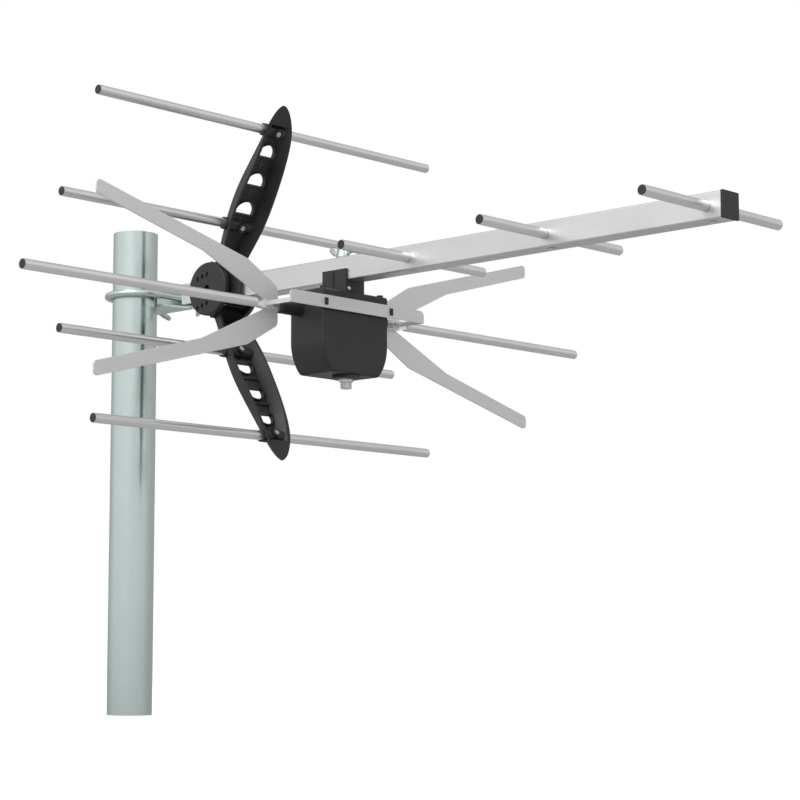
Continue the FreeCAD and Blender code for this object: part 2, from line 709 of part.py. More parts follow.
def washer(label, foot, direction):
    disc = cylinder(label + "_disc", foot, direction, s.washer_diameter / 2, s.washer_thickness)
    hole = cylinder(label + "_hole", foot, direction, bolt_hole, s.washer_thickness)
    return cut(label, disc, [hole])


def wing_nut(label, foot, direction, longer=0, turn=0):
    """A tapered round nut with two flat wings."""
    body = new_body(label)
    neck = s.wing_nut_radius - s.wing_nut_taper
    turned(body, [(0, 0), (s.wing_nut_radius, 0), (neck, s.wing_nut_height), (0, s.wing_nut_height)])
    root = neck / 2
    right = [(root, s.wing_foot_rise), (s.wing_knee + longer, s.wing_knee_rise),
             (s.wing_span + longer, s.wing_span_rise), (s.wing_crest + longer, s.wing_height),
             (s.wing_heel + longer, s.wing_heel_rise), (root, s.wing_nut_height)]
    left = [(-across, up) for across, up in reversed(right)]
    pad(body, "XZ", -s.wing_thickness / 2, s.wing_thickness / 2, right, left)
    pocket(body, "XY", sized(0), s.wing_height, Circle(0, 0, bolt_hole))
    place(body, foot, ALONG[direction] * Rotation(Vector(0, 0, 1), sized(turn).value))
    return body


def clamp_fasteners():
    """Washers and wing nuts on the far face of the bracket's plate."""
    far = s.plate_reach + s.plate_thickness
    up = s.boom_height + s.bolt_rise
    sides = [("rear", -s.bend_radius), ("front", s.bend_radius)]
    washers = [washer(f"{name}_clamp_washer", (x, far, up), "+Y") for name, x in sides]
    seat = far + s.washer_thickness
    nuts = [wing_nut(f"{name}_clamp_nut", (x, seat, up), "+Y", s.long_wing, s.wing_turn) for name, x in sides]
    node("u_bolt_washers", group("washer_pair", washers))
    node("u_bolt_wing_nuts", group("wing_nut_pair", nuts))


# Hub and the arms of the reflector

def reflector_hub():
    """Moulding with two round cheeks and a sleeve that takes the rear end of the boom."""
    body = new_body("reflector_hub")
    inner = s.hub_half_width - s.cheek_thickness
    sleeve_half = s.boom_width / 2 + s.fit_gap + s.sleeve_wall
    sleeve_rise = s.boom_depth / 2 + s.fit_gap + s.sleeve_wall
    web_end = s.boom_rear_x + s.hub_web - s.hub_x
    start, end = s.boom_rear_x - s.hub_x, s.sleeve_front_x - s.hub_x
    pad(body, "XY", -sleeve_rise, sleeve_rise, rectangle(start, -inner, web_end, inner))
    pad(body, "XY", -sleeve_rise, sleeve_rise, rectangle(web_end, -sleeve_half, end, sleeve_half))
    for low, high in ((-s.hub_half_width, -inner), (inner, s.hub_half_width)):
        pad(body, "XZ", low, high, Circle(0, 0, s.hub_radius))
    round_off(body, s.hub_edge, on_faces("Y", s.hub_half_width))
    hole = rectangle(-s.boom_width / 2 - s.fit_gap, -s.boom_depth / 2 - s.fit_gap,
                     s.boom_width / 2 + s.fit_gap, s.boom_depth / 2 + s.fit_gap)
    pocket(body, "YZ", start, end, hole)
    pocket(body, "XZ", -s.hub_half_width, s.hub_half_width, Circle(0, 0, bolt_hole))
    slots = []
    for rise in (-s.hub_slot_rise, s.hub_slot_rise):
        for count in (1, 2, 3):
            left = s.hub_slot_pitch * (1 - count) - s.hub_slot_width / 2
            low = rise + s.hub_slot_slope * (1 - count) - s.hub_slot_height / 2
            slots.append(rectangle(left, low, left + s.hub_slot_width, low + s.hub_slot_height))
    for low, high in ((-s.hub_half_width, -s.hub_half_width + s.hub_slot_depth),
                      (s.hub_half_width - s.hub_slot_depth, s.hub_half_width)):
        pocket(body, "XZ", low, high, *slots)
    pocket(body, "XY", sized(0), sleeve_rise, Circle(hub_screw_x - s.hub_x, 0, rivet_hole))
    place(body, (s.hub_x, 0, s.boom_height))
    node("reflector_hub", body)


def hub_fasteners():
    half = s.hub_half_width - s.pin_recess
    pin = cylinder("hub_pin_bar", (s.hub_x, -half, s.boom_height), "+Y", bolt_radius, half * 2)
    node("hub_pin", pin)
    seat = boom_top + s.fit_gap + s.sleeve_wall
    node("hub_screw", fuse("hub_screw_solid", [
        cylinder("hub_screw_head", (hub_screw_x, 0, seat), "+Z", s.rivet_head / 2, s.rivet_head_height),
        cylinder("hub_screw_shank", (hub_screw_x, 0, seat), "-Z", rivet_radius,
                 s.sleeve_wall + s.fit_gap + s.boom_wall * 2)]))


lean_sine = sine(s.arm_lean)
lean_cosine = cosine(s.arm_lean)
rods = {"inner": (s.inner_rod_x, s.inner_rod_rise), "outer": (s.outer_rod_x, s.outer_rod_rise)}
rod_reach = {name: (x - s.hub_x) * lean_sine + rise * lean_cosine for name, (x, rise) in rods.items()}
rod_offset = {name: (x - s.hub_x) * lean_cosine - rise * lean_sine for name, (x, rise) in rods.items()}
rod_line = (rod_offset["inner"] + rod_offset["outer"]) / 2
arm_front = rod_line + s.arm_face
arm_rear = rod_line - s.arm_back
arm_grip_half = s.hub_half_width - s.cheek_thickness
none = sized(0)
ARM_SECTIONS = [
    (s.arm_start, s.grip_half, s.grip_back_half, none, none),
    (s.grip_reach, s.grip_half, s.grip_back_half, none, none),
    (rod_reach["inner"] - s.neck_before, s.neck_half, s.neck_back_half, none, none),
    (rod_reach["inner"] + s.hip_past, s.hip_half, s.hip_back_half, none, none),
    (rod_reach["inner"] + s.broad_past, s.broad_half, s.broad_back_half, none, none),
    (rod_reach["outer"] - s.shoulder_before, s.shoulder_half, s.shoulder_back_half, s.shoulder_fall, none),
    (rod_reach["outer"] + s.brow_past, s.brow_half, s.brow_back_half, s.brow_fall, s.brow_rise),
    (rod_reach["outer"] + s.bow_past, s.bow_half, s.bow_back_half, s.bow_fall, s.bow_rise),
    (rod_reach["outer"] + s.nose_past, s.nose_half, s.nose_back_half, s.nose_fall, s.nose_rise),
    (rod_reach["outer"] + s.tip_past, s.tip_half, s.tip_back_half, s.tip_fall, s.tip_rise),
]


def arm_loft(body, kind, sections, wall, floor, above):
    """A loft through sections square to the arm, drawn as (forward, across)."""
    loft = body.newObject(kind, body.Label + "_loft")
    sketches = []
    for reach, half, back_half, fall, rise in sections:
        front, rear = arm_front - fall + above, arm_rear + rise + floor
        loop = [(rear, -back_half + wall), (front, -half + wall),
                (front, half - wall), (rear, back_half - wall)]
        sketches.append(draw(body, "XY", reach, [loop]))
    loft.Profile = sketches[0]
    loft.Sections = sketches[1:]
    return loft


def arm_windows(grown):
    """Three windows with a flat foot towards the hub and a round crown towards the tip."""
    first = rod_reach["inner"] + s.window_past
    last = rod_reach["outer"] - s.window_before
    loops = []
    for foot, half, crown in ((first, s.window_half, s.window_crown),
                              ((first + last) / 2, s.window_half, s.window_crown),
                              (last, s.window_last_half, s.window_last_crown)):
        shoulder = foot + s.window_shoulder
        wide = half + grown
        loops.append([(-wide, foot - grown), (wide, foot - grown), (wide, shoulder, crown + grown),
                      (-wide, shoulder)])
    return loops


def crown_height(half, crown):
    """Height of a window's crown above its straight sides."""
    rise = math.sqrt(crown.value ** 2 - half.value ** 2)
    return crown - Size(rise, f"sqrt({crown.text} * {crown.text} - {half.text} * {half.text})")


def reflector_arm():
    """Boat-shaped moulding with windows, and a sleeve and a sunk screw seat for each rod."""
    body = new_body("upper_reflector_arm")
    arm_loft(body, "PartDesign::AdditiveLoft", ARM_SECTIONS, none, none, none)
    arm_loft(body, "PartDesign::SubtractiveLoft", ARM_SECTIONS[1:7], s.arm_wall, s.arm_floor, s.arm_floor)
    floor = arm_rear + s.arm_floor
    block_high = arm_front - s.arm_wall
    pad(body, "YZ", floor, block_high, rectangle(-arm_grip_half, s.arm_start, arm_grip_half, s.tongue_end))
    pad(body, "YZ", floor - s.arm_floor / 2, floor + s.rim_height, *arm_windows(s.window_rim))
    first = rod_reach["inner"] + s.window_past
    last = rod_reach["outer"] - s.window_before
    middle = (first + last) / 2
    top = s.window_shoulder + crown_height(s.window_half, s.window_crown)
    ribs = [rectangle(-s.rib_half, foot, s.rib_half, foot + s.rib_thickness)
            for foot in (first + top + s.rib_gap, middle + top + s.rib_gap)]
    pad(body, "YZ", floor - s.arm_floor / 2, floor + s.rib_height, *ribs)
    for name, half in (("inner", s.inner_boss_half), ("outer", s.outer_boss_half)):
        pad(body, "XZ", -half, half, Circle(rod_offset[name], rod_reach[name], s.boss_radius))
        seat = rod_offset[name] + s.seat_height
        pad(body, "YZ", rod_offset[name], seat + s.seat_rim, Circle(0, rod_reach[name], s.seat_radius))
        pocket(body, "YZ", seat, seat + s.seat_rim, Circle(0, rod_reach[name], s.seat_bore))
    pocket(body, "YZ", arm_rear, floor + s.rim_height, *arm_windows(none))
    slit = s.slit_half
    slits = [rectangle(-slit, first - s.window_rim - s.slit_end_gap - s.slit_length, slit,
                       first - s.window_rim - s.slit_end_gap)]
    for start, end in ((first + top, middle), (middle + top, last)):
        slits.append(rectangle(-slit, start + s.window_rim + s.slit_end_gap, slit,
                               end - s.window_rim - s.slit_end_gap))
    pocket(body, "YZ", arm_rear, floor + s.rib_height, *slits)
    for name in rods:
        pocket(body, "XZ", -s.broad_half, s.broad_half,
               Circle(rod_offset[name], rod_reach[name], rod_hole))
        seat = rod_offset[name] + s.seat_height
        pocket(body, "YZ", rod_offset[name], seat, Circle(0, rod_reach[name], rivet_hole))
    place(body, (s.hub_x, 0, s.boom_height), Rotation(Vector(0, 1, 0), s.arm_lean.value))
    drive(body, "Placement.Rotation.Angle", s.arm_lean)
    node("upper_reflector_arm", body)
    node("lower_reflector_arm", mirrored("lower_arm", body, "Z"))


def leaning(label, name, start, radius, length):
    """A round bar square to the arm, at y 0, from a start measured from the rod's own axis."""
    x, rise = rods[name]
    bar = add("Part::Cylinder", label)
    drive(bar, "Radius", radius)
    drive(bar, "Height", length)
    place(bar, (x + start * lean_cosine, 0, s.boom_height + rise - start * lean_sine),
          Rotation(Vector(0, 1, 0), s.arm_lean.value + RIGHT_ANGLE))
    drive(bar, "Placement.Rotation.Angle", s.arm_lean + RIGHT_ANGLE)
    return bar


def tube(label, x, low, high, up, holes):
    """A tube along Y with the given cross holes."""
    outer = cylinder(label + "_outer", (x, low, up), "+Y", rod_radius, high - low)
    bore = cylinder(label + "_bore", (x, low, up), "+Y", rod_radius - s.rod_wall, high - low)
    return cut(label, outer, [bore] + holes)


def plug(label, x, end, up, direction):
    """A cap for the end of a tube, with a shank that fills its bore."""
    back = {"+Y": "-Y", "-Y": "+Y"}[direction]
    head = cylinder(label + "_head", (x, end, up), direction, s.plug_diameter / 2, s.plug_head)
    shank = cylinder(label + "_shank", (x, end, up), back, rod_radius - s.rod_wall, s.plug_shank)
    return fuse(label, [head, shank])


def reflector_rods():
    half = s.reflector_length / 2
    plugs, screws = [], []
    for name, (x, rise) in rods.items():
        hole = leaning(f"{name}_rod_hole", name, sized(0), rivet_hole, s.rod_diameter)
        rod = tube(f"upper_{name}_reflector_rod", x, -half, half, s.boom_height + rise, [hole])
        node(f"upper_{name}_reflector_rod", rod)
        node(f"lower_{name}_reflector_rod", mirrored(f"lower_{name}_rod", rod, "Z"))
        for side, end, direction in (("right", -half, "-Y"), ("left", half, "+Y")):
            cap = plug(f"upper_{name}_{side}_plug", x, end, s.boom_height + rise, direction)
            plugs += [cap, mirrored(f"lower_{name}_{side}_plug", cap, "Z")]
        head = leaning(f"{name}_screw_head", name, s.seat_height, s.rod_screw_head / 2,
                       s.rod_screw_head_height)
        shank = leaning(f"{name}_screw_shank", name, s.screw_tip, rivet_radius, s.seat_height - s.screw_tip)
        screw = fuse(f"upper_{name}_screw", [head, shank])
        screws += [screw, mirrored(f"lower_{name}_screw", screw, "Z")]
    node("reflector_end_plugs", group("reflector_plugs", plugs))
    node("reflector_screws", group("reflector_screw_set", screws))


# Boom and directors

def boom():
    """Square tube, cross-drilled for the directors and for its fasteners."""
    body = new_body("boom")
    half, rise = s.boom_width / 2, s.boom_depth / 2
    pad(body, "YZ", s.boom_rear_x, s.boom_front_x, rectangle(-half, -rise, half, rise))
    round_off(body, s.boom_corner, along("X"))
    inside = rectangle(-half + s.boom_wall, -rise + s.boom_wall, half - s.boom_wall, rise - s.boom_wall)
    pocket(body, "YZ", s.boom_rear_x, s.boom_front_x, inside)
    pocket(body, "XZ", -half, half, *[Circle(x, 0, rod_hole) for _, x in DIRECTORS])
    pocket(body, "XY", -rise, sized(0), *[Circle(x, 0, rivet_hole) for _, x in DIRECTORS])
    pocket(body, "XY", -rise, rise, Circle(saddle_x, 0, bolt_hole))
    pocket(body, "XY", sized(0), rise, Circle(hub_screw_x, 0, rivet_hole))
    place(body, (0, 0, s.boom_height))
    node("boom", body)


def boom_front_cap():
    body = new_body("boom_front_cap")
    half, rise = s.cap_width / 2, s.cap_height / 2
    pad(body, "YZ", s.boom_front_x, s.boom_front_x + s.cap_thickness, rectangle(-half, -rise, half, rise))
    round_off(body, s.cap_round, along("X"))
    inner = s.boom_width / 2 - s.boom_wall - s.fit_gap
    inner_rise = s.boom_depth / 2 - s.boom_wall - s.fit_gap
    pad(body, "YZ", s.boom_front_x - s.cap_plug_length, s.boom_front_x,
        rectangle(-inner, -inner_rise, inner, inner_rise))
    core = inner - s.cap_plug_wall
    pocket(body, "YZ", s.boom_front_x - s.cap_plug_length, s.boom_front_x,
           rectangle(-core, -core, core, core))
    place(body, (0, 0, s.boom_height))
    node("boom_front_cap", body)


def directors():
    half = s.director_length / 2
    plugs, rivets = [], []
    for label, x in DIRECTORS:
        drill = cylinder(label + "_drill", (x, 0, s.boom_height), "-Z", rivet_hole, rod_radius)
        node(label, tube(label + "_tube", x, -half, half, s.boom_height, [drill]))
        for side, end, direction in (("right", -half, "-Y"), ("left", half, "+Y")):
            plugs.append(plug(f"{label}_{side}_plug", x, end, s.boom_height, direction))
        head = cylinder(label + "_rivet_head", (x, 0, boom_floor), "-Z",
                        s.rivet_head / 2, s.rivet_head_height)
        shank = cylinder(label + "_rivet_shank", (x, 0, boom_floor), "+Z", rivet_radius,
                         s.boom_depth / 2 - rod_radius + s.rod_wall * 2)
        rivets.append(fuse(label + "_rivet", [head, shank]))
    node("director_end_plugs", group("director_plugs", plugs))
    node("director_rivets", group("director_rivet_set", rivets))


# Dipole, bow-tie sheets and coupling bar

def dipole_half():
    """A tube whose inner end is pressed flat and drilled for its screw."""
    body = new_body("dipole_rod_left")
    half, rise = s.tongue_thickness / 2, s.tongue_height / 2
    pad(body, "XZ", s.tongue_inner, s.tongue_outer, rectangle(-half, -rise, half, rise))
    loft = body.newObject("PartDesign::AdditiveLoft", "dipole_taper")
    loft.Profile = draw(body, "XZ", s.tongue_outer, [rectangle(-half, -rise, half, rise)])
    loft.Sections = [draw(body, "XZ", s.tube_start, [pressed_square(rod_radius)])]
    loft.Ruled = True
    pad(body, "XZ", s.tube_start, s.dipole_reach, Circle(0, 0, rod_radius))
    pocket(body, "XZ", s.tube_start, s.dipole_reach, Circle(0, 0, rod_radius - s.rod_wall))
    pocket(body, "YZ", -half, half, Circle(s.screw_reach, 0, screw_hole))
    place(body, (s.dipole_x, 0, dipole_z))
    node("dipole_rod_left", body)
    node("dipole_rod_right", mirrored("dipole_right", body, "Y"))


def pressed_square(radius):
    """A square just inside a circle, so the pressed part meets the tube."""
    half = radius * SQUARE_IN_CIRCLE
    return rectangle(-half, -half, half, half)


def bowtie_sheet():
    """A sheet with an upper and a lower wing, joined at the root."""
    body = new_body("bowtie_left")
    upper = [(s.tie_root, s.tie_root_rise), (s.tie_outer_kink, s.tie_kink_rise),
             (s.tie_tip_far, s.tie_tip_upper), (s.tie_tip_far, s.tie_tip_lower),
             (s.tie_inner_kink, s.tie_kink_rise), (s.tie_notch, sized(0))]
    lower = [(across, -up) for across, up in reversed(upper[:-1])]
    outline = list(reversed(upper + lower))
    pad(body, "YZ", -s.sheet_thickness, sized(0), outline)
    for radius, spots in (
            (s.tie_notch_radius, [upper[-1]]),
            (s.tie_root_radius, [upper[0], lower[-1]]),
            (s.tie_bend_radius, [upper[1], upper[4], lower[0], lower[3]]),
            (s.tie_tip_radius, [upper[2], upper[3], lower[1], lower[2]])):
        round_off(body, radius, along("X", *spots))
    pocket(body, "YZ", -s.sheet_thickness, sized(0), Circle(s.screw_reach, 0, screw_hole))
    place(body, (tongue_rear_x, 0, dipole_z))
    node("bowtie_left", body)
    node("bowtie_right", mirrored("bowtie_right_sheet", body, "Y"))


def coupling_bar():
    """Flat bar across the front of the box, bent back at both ends to the dipole screws."""
    body = new_body("coupling_strip")
    middle = s.dipole_drop - s.bar_drop
    rise, leg = s.bar_height / 2, s.bar_leg_height / 2
    rear = s.bar_front_x - s.sheet_thickness
    inner = s.bar_half_length - s.sheet_thickness
    pad(body, "YZ", rear, s.bar_front_x,
        rectangle(-s.bar_half_length, middle - rise, s.bar_half_length, middle + rise))
    for low, high in ((-s.bar_half_length, -inner), (inner, s.bar_half_length)):
        pad(body, "XZ", low, high, rectangle(tongue_front_x, -leg, rear, leg))
    for low, high in ((-s.bar_half_length, -s.bar_foot_inner), (s.bar_foot_inner, s.bar_half_length)):
        foot = rectangle(low, -s.bar_foot_rise, high, s.bar_foot_rise)
        pad(body, "YZ", tongue_front_x, tongue_front_x + s.sheet_thickness, foot)
    slots = []
    for side in (-1, 1):
        left = side * s.bar_slot_reach - s.bar_slot_width / 2
        slots.append(rectangle(left, middle - s.bar_slot_height / 2,
                               left + s.bar_slot_width, middle + s.bar_slot_height / 2))
    pocket(body, "YZ", rear, s.bar_front_x, *slots)
    pocket(body, "YZ", tongue_front_x, tongue_front_x + s.sheet_thickness,
           *[Circle(side * s.screw_reach, 0, screw_hole) for side in (-1, 1)])
    corner = [(side * s.bar_half_length, middle + rise) for side in (-1, 1)]
    round_off(body, s.bar_corner, along("X", *corner))
    place(body, (0, 0, dipole_z))
    node("coupling_strip", body)


def dipole_fasteners():
    plugs = [plug("left_dipole_plug", s.dipole_x, s.dipole_reach, dipole_z, "+Y")]
    plugs.append(mirrored("right_dipole_plug", plugs[0], "Y"))
    node("dipole_end_plugs", group("dipole_plugs", plugs))
    seat = tongue_front_x + s.sheet_thickness
    back = tongue_rear_x - s.sheet_thickness
    head = cylinder("dipole_screw_head", (seat, s.screw_reach, dipole_z), "+X",
                    s.screw_head / 2, s.screw_head_height)
    shank = cylinder("dipole_screw_shank", (seat, s.screw_reach, dipole_z), "-X", screw_radius,
                     seat - back + s.dipole_nut + s.screw_past_nut)
    screw = fuse("left_dipole_screw", [head, shank])
    node("dipole_screws", group("dipole_screw_pair", [screw, mirrored("right_dipole_screw", screw, "Y")]))
    blank = hexagon("dipole_nut_blank", (back, s.screw_reach, dipole_z), "-X",
                    s.dipole_nut_across, s.dipole_nut)
    bore = cylinder("dipole_nut_bore", (back, s.screw_reach, dipole_z), "-X", screw_hole, s.dipole_nut)
    nut = cut("left_dipole_nut", blank, [bore])
    node("dipole_nuts", group("dipole_nut_pair", [nut, mirrored("right_dipole_nut", nut, "Y")]))


# Dipole box

def box_profile(inset, top):
    """Section of the box across the boom, from heights measured below the boom axis."""
    side, floor = s.box_half_width - inset, -s.box_bottom_drop + inset
    foot = s.box_bottom_half - inset / 2
    radius = s.box_side_radius - inset
    return [(-foot, floor), (foot, floor, radius), (side, -s.box_curve_drop), (side, top),
            (-side, top), (-side, -s.box_curve_drop, radius)]


def balun_box():
    """Moulded box with a sleeve on each side for the dipole, and two tabs for the bar."""
    body = new_body("balun_box")
    top = -s.box_top_drop
    pad(body, "YZ", s.box_rear_x, s.box_front_x, box_profile(sized(0), top))
    feet = [(side * s.box_bottom_half, -s.box_bottom_drop) for side in (-1, 1)]
    round_off(body, s.box_foot_radius, along("X", *feet))
    round_off(body, s.box_edge, box_edges(top.value))
    wall_reach = s.box_half_width - s.box_wall
    for low, high in ((-s.lug_reach, -wall_reach), (wall_reach, s.lug_reach)):
        pad(body, "XZ", low, high, Circle(s.dipole_x, -s.dipole_drop, s.lug_radius))
    pocket(body, "YZ", s.box_rear_x + s.box_wall, s.box_front_x - s.box_wall,
           box_profile(s.box_wall, top + s.box_wall))
    posts = [Circle(x, y, s.post_radius) for x, y in post_spots]
    pad(body, "XY", top - s.post_depth, top, *posts)
    pocket(body, "XY", top - s.post_depth / 2, top, *[Circle(x, y, lid_hole) for x, y in post_spots])
    rest_ends = (s.box_rear_x + s.rest_inset, s.box_front_x - s.rest_inset)
    rests = [Circle(x, side * s.rest_reach, s.post_radius) for x in rest_ends for side in (-1, 1)]
    pad(body, "XY", -s.box_bottom_drop + s.box_wall / 2, -s.board_drop - s.board_thickness, *rests)
    seats, tabs = [], []
    half = s.bar_slot_width / 2 - s.fit_gap
    rise = s.bar_slot_height / 2 - s.fit_gap
    for side, to_right, to_left in ((-1, s.tab_seat_outer, s.tab_seat), (1, s.tab_seat, s.tab_seat_outer)):
        middle = side * s.bar_slot_reach
        seats.append(rectangle(middle - to_right, -s.bar_drop - s.tab_seat_rise,
                               middle + to_left, -s.bar_drop + s.tab_seat_rise))
        tabs.append(rectangle(middle - half, -s.bar_drop - rise, middle + half, -s.bar_drop + rise))
    bar_rear = s.bar_front_x - s.sheet_thickness
    pad(body, "YZ", s.box_front_x - s.box_wall, bar_rear, *seats)
    pad(body, "YZ", s.box_front_x - s.box_wall, s.bar_front_x + s.tab_proud, *tabs)
    slit_half = s.tongue_thickness / 2 + s.fit_gap
    slit_rise = s.tongue_height / 2 + s.fit_gap
    slit = rectangle(s.dipole_x - slit_half, -s.dipole_drop - slit_rise,
                     s.dipole_x + slit_half, -s.dipole_drop + slit_rise)
    pocket(body, "XZ", -s.lug_reach, s.lug_reach, slit)
    pocket(body, "XY", -s.box_bottom_drop, -s.box_bottom_drop + s.box_wall,
           Circle(s.connector_x, 0, socket_hole))
    place(body, (0, 0, s.boom_height))
    node("balun_box", body)


def box_edges(top):
    """A test for the edges of the box's front and rear faces below its open top."""
    faces = (s.box_rear_x.value, s.box_front_x.value)

    def test(edge):
        flat = any(all(abs(vertex.Point.x - face) < CLOSE for vertex in edge.Vertexes) for face in faces)
        return flat and not all(abs(vertex.Point.z - top) < CLOSE for vertex in edge.Vertexes)

    return test


def balun_lid():
    """Lid with a saddle that grips the boom from below."""
    body = new_body("balun_lid")
    low = lid_floor - s.boom_height
    top = -s.lid_top_drop
    edge = s.box_half_width
    pad(body, "XY", low, top, rectangle(s.box_rear_x, -edge, s.box_front_x, edge))
    round_off(body, s.lid_edge, lid_edges(low.value))
    wall = s.box_wall
    pocket(body, "XY", low, top - s.lid_wall,
           rectangle(s.box_rear_x + wall, -edge + wall, s.box_front_x - wall, edge - wall))
    pad(body, "XY", -s.box_top_drop, top - s.lid_wall / 2,
        *[Circle(x, y, s.post_radius) for x, y in post_spots])
    front = s.saddle_rear_x + s.saddle_length
    inner = s.boom_width / 2 + s.fit_gap
    outer = inner + s.saddle_cheek
    pad(body, "XY", top - s.lid_wall / 2, -s.boom_depth / 2, rectangle(s.saddle_rear_x, -inner, front, inner))
    for start, end in ((-outer, -inner), (inner, outer)):
        pad(body, "XY", top - s.lid_wall / 2, -s.saddle_top_drop,
            rectangle(s.saddle_rear_x, start, front, end))
    half = s.groove_width / 2
    for start, end in ((-outer, -outer + s.groove_depth), (outer - s.groove_depth, outer)):
        groove = rectangle(saddle_x - half, start, saddle_x + half, end)
        pocket(body, "XY", top, -s.saddle_top_drop, groove)
    pocket(body, "XY", top - s.lid_wall, -s.boom_depth / 2, Circle(saddle_x, 0, bolt_hole))
    pocket(body, "XY", -s.box_top_drop, top, *[Circle(x, y, lid_hole) for x, y in post_spots])
    place(body, (0, 0, s.boom_height))
    node("balun_lid", body)


def lid_edges(low):
    """A test for all edges but those of the lid's open underside."""
    def test(edge):
        return not all(abs(vertex.Point.z - low) < CLOSE for vertex in edge.Vertexes)

    return test


def lid_gasket():
    body = new_body("lid_gasket")
    inset, wall = s.gasket_inset, s.box_wall
    edge = s.box_half_width
    pad(body, "XY", sized(0), s.gasket_thickness,
        rectangle(s.box_rear_x + inset, -edge + inset, s.box_front_x - inset, edge - inset),
        rectangle(s.box_rear_x + wall, -edge + wall, s.box_front_x - wall, edge - wall))
    pocket(body, "XY", sized(0), s.gasket_thickness,
           *[Circle(x, y, s.post_radius + s.fit_gap) for x, y in post_spots])
    place(body, (0, 0, body_top))
    node("lid_gasket", body)


def lid_screws():
    screws = []
    for number, (x, y) in enumerate(post_spots, start=1):
        head = cylinder(f"lid_screw_{number}_head", (x, y, lid_top), "+Z",
                        s.lid_screw_head / 2, s.lid_screw_high)
        shank = cylinder(f"lid_screw_{number}_shank", (x, y, lid_top), "-Z", s.lid_screw_diameter / 2,
                         s.lid_screw_length)
        screws.append(fuse(f"lid_screw_{number}", [head, shank]))
    node("lid_screws", group("lid_screw_set", screws))


def saddle_fasteners():
    """Bolt up through the lid and the boom, with a washer and a wing nut on top."""
    underside = lid_top - s.lid_wall
    top = boom_top + s.washer_thickness
    head = hexagon("saddle_bolt_head", (saddle_x, 0, underside), "-Z", s.bolt_head_across, s.bolt_head_height)
    shank = cylinder("saddle_bolt_shank", (saddle_x, 0, underside), "+Z", bolt_radius,
                     top - underside + s.wing_nut_height + s.bolt_proud)
    node("saddle_bolt", fuse("saddle_bolt_solid", [head, shank]))
    node("saddle_washer", washer("saddle_washer_ring", (saddle_x, 0, boom_top), "+Z"))
    node("saddle_wing_nut", wing_nut("saddle_nut", (saddle_x, 0, top), "+Z"))


def aerial_socket():
    """Threaded coaxial socket through the floor of the box, with its collar and nut."""
    x = s.connector_x
    end = s.boom_height - s.connector_drop
    inner_floor = box_floor + s.box_wall
    collar = cylinder("collar_disc", (x, 0, box_floor), "-Z", s.collar_radius, s.collar_thickness)
    collar_hole = cylinder("collar_hole", (x, 0, box_floor), "-Z", socket_hole, s.collar_thickness)
    node("connector_collar", cut("connector_collar_ring", collar, [collar_hole]))
    under = box_floor - s.collar_thickness
    nut = hexagon("socket_nut_blank", (x, 0, under), "-Z", s.nut_across, s.nut_thickness)
    nut_hole = cylinder("socket_nut_hole", (x, 0, under), "-Z", socket_hole, s.nut_thickness)
    node("connector_nut", cut("connector_nut_ring", nut, [nut_hole]))
    nut_face = under - s.nut_thickness
    thread = cylinder("socket_thread", (x, 0, end), "+Z", s.connector_radius, nut_face - end)
    neck = cylinder("socket_neck", (x, 0, nut_face), "+Z", s.connector_radius - s.thread_relief,
                    inner_floor - nut_face)
    flange = hexagon("socket_flange", (x, 0, inner_floor), "+Z", s.nut_across, s.socket_flange)
    bore = cylinder("socket_bore", (x, 0, end), "+Z", s.connector_bore, inner_floor + s.socket_flange - end)
    node("f_connector", cut("socket_shell", fuse("socket_solid", [thread, neck, flange]), [bore]))
    depth = inner_floor + s.socket_flange - end - s.socket_mouth
    core = cylinder("socket_core", (x, 0, end + s.socket_mouth), "+Z", s.connector_bore, depth)
    contact_hole = cylinder("socket_core_hole", (x, 0, end + s.socket_mouth), "+Z", s.contact_radius, depth)
    node("connector_insulator", cut("connector_core", core, [contact_hole]))
    board_under = s.boom_height - s.board_drop - s.board_thickness
    contact = cylinder("socket_contact", (x, 0, end + s.socket_mouth), "+Z", s.contact_radius,
                       board_under - end - s.socket_mouth)
    node("connector_contact", contact)


def board_parts():
    """Circuit board with its ferrite core, and a brass strip up to each dipole tongue."""
    under = s.boom_height - s.board_drop - s.board_thickness
    top = s.boom_height - s.board_drop
    rear = s.box_rear_x + s.box_wall + s.board_margin
    front = s.box_front_x - s.box_wall - s.board_margin
    plate = block("board_plate", (rear, -s.board_half_width, under), (front, s.board_half_width, top))
    node("balun_board", plate)
    low_x, high_x = s.dipole_x - s.core_length / 2, s.dipole_x + s.core_length / 2
    core = block("core_block", (low_x, -s.core_width / 2, top),
                 (high_x, s.core_width / 2, top + s.core_height))
    hole_up = top + s.core_height / 2
    holes = [cylinder(f"core_hole_{number}", (low_x, side * s.core_width / 4, hole_up), "+X",
                      s.core_hole / 2, s.core_length) for number, side in ((1, -1), (2, 1))]
    node("balun_transformer", cut("ferrite_core", core, holes))
    strip = block("terminal_strip", (tongue_front_x, s.tongue_inner, top),
                  (tongue_front_x + s.terminal_thickness, s.tongue_inner + s.terminal_width,
                   dipole_z + s.tongue_height / 2))
    node("terminal_left", strip)
    node("terminal_right", mirrored("terminal_right_strip", strip, "Y"))


def check_nodes():
    broken = [thing.Name for thing in document.Objects if {"Invalid", "Error"} & set(thing.State)]
    if broken:
        raise RuntimeError(f"features that failed: {broken}")
    for label, thing in NODES.items():
        if thing.Shape.isNull() or not thing.Shape.isValid() or not thing.Shape.Solids:
            raise RuntimeError(f"{label} has no valid solid")


def write_nodes():
    os.makedirs("parts", exist_ok=True)
    for label, thing in NODES.items():
        thing.Shape.exportStep(f"parts/{label}.step")


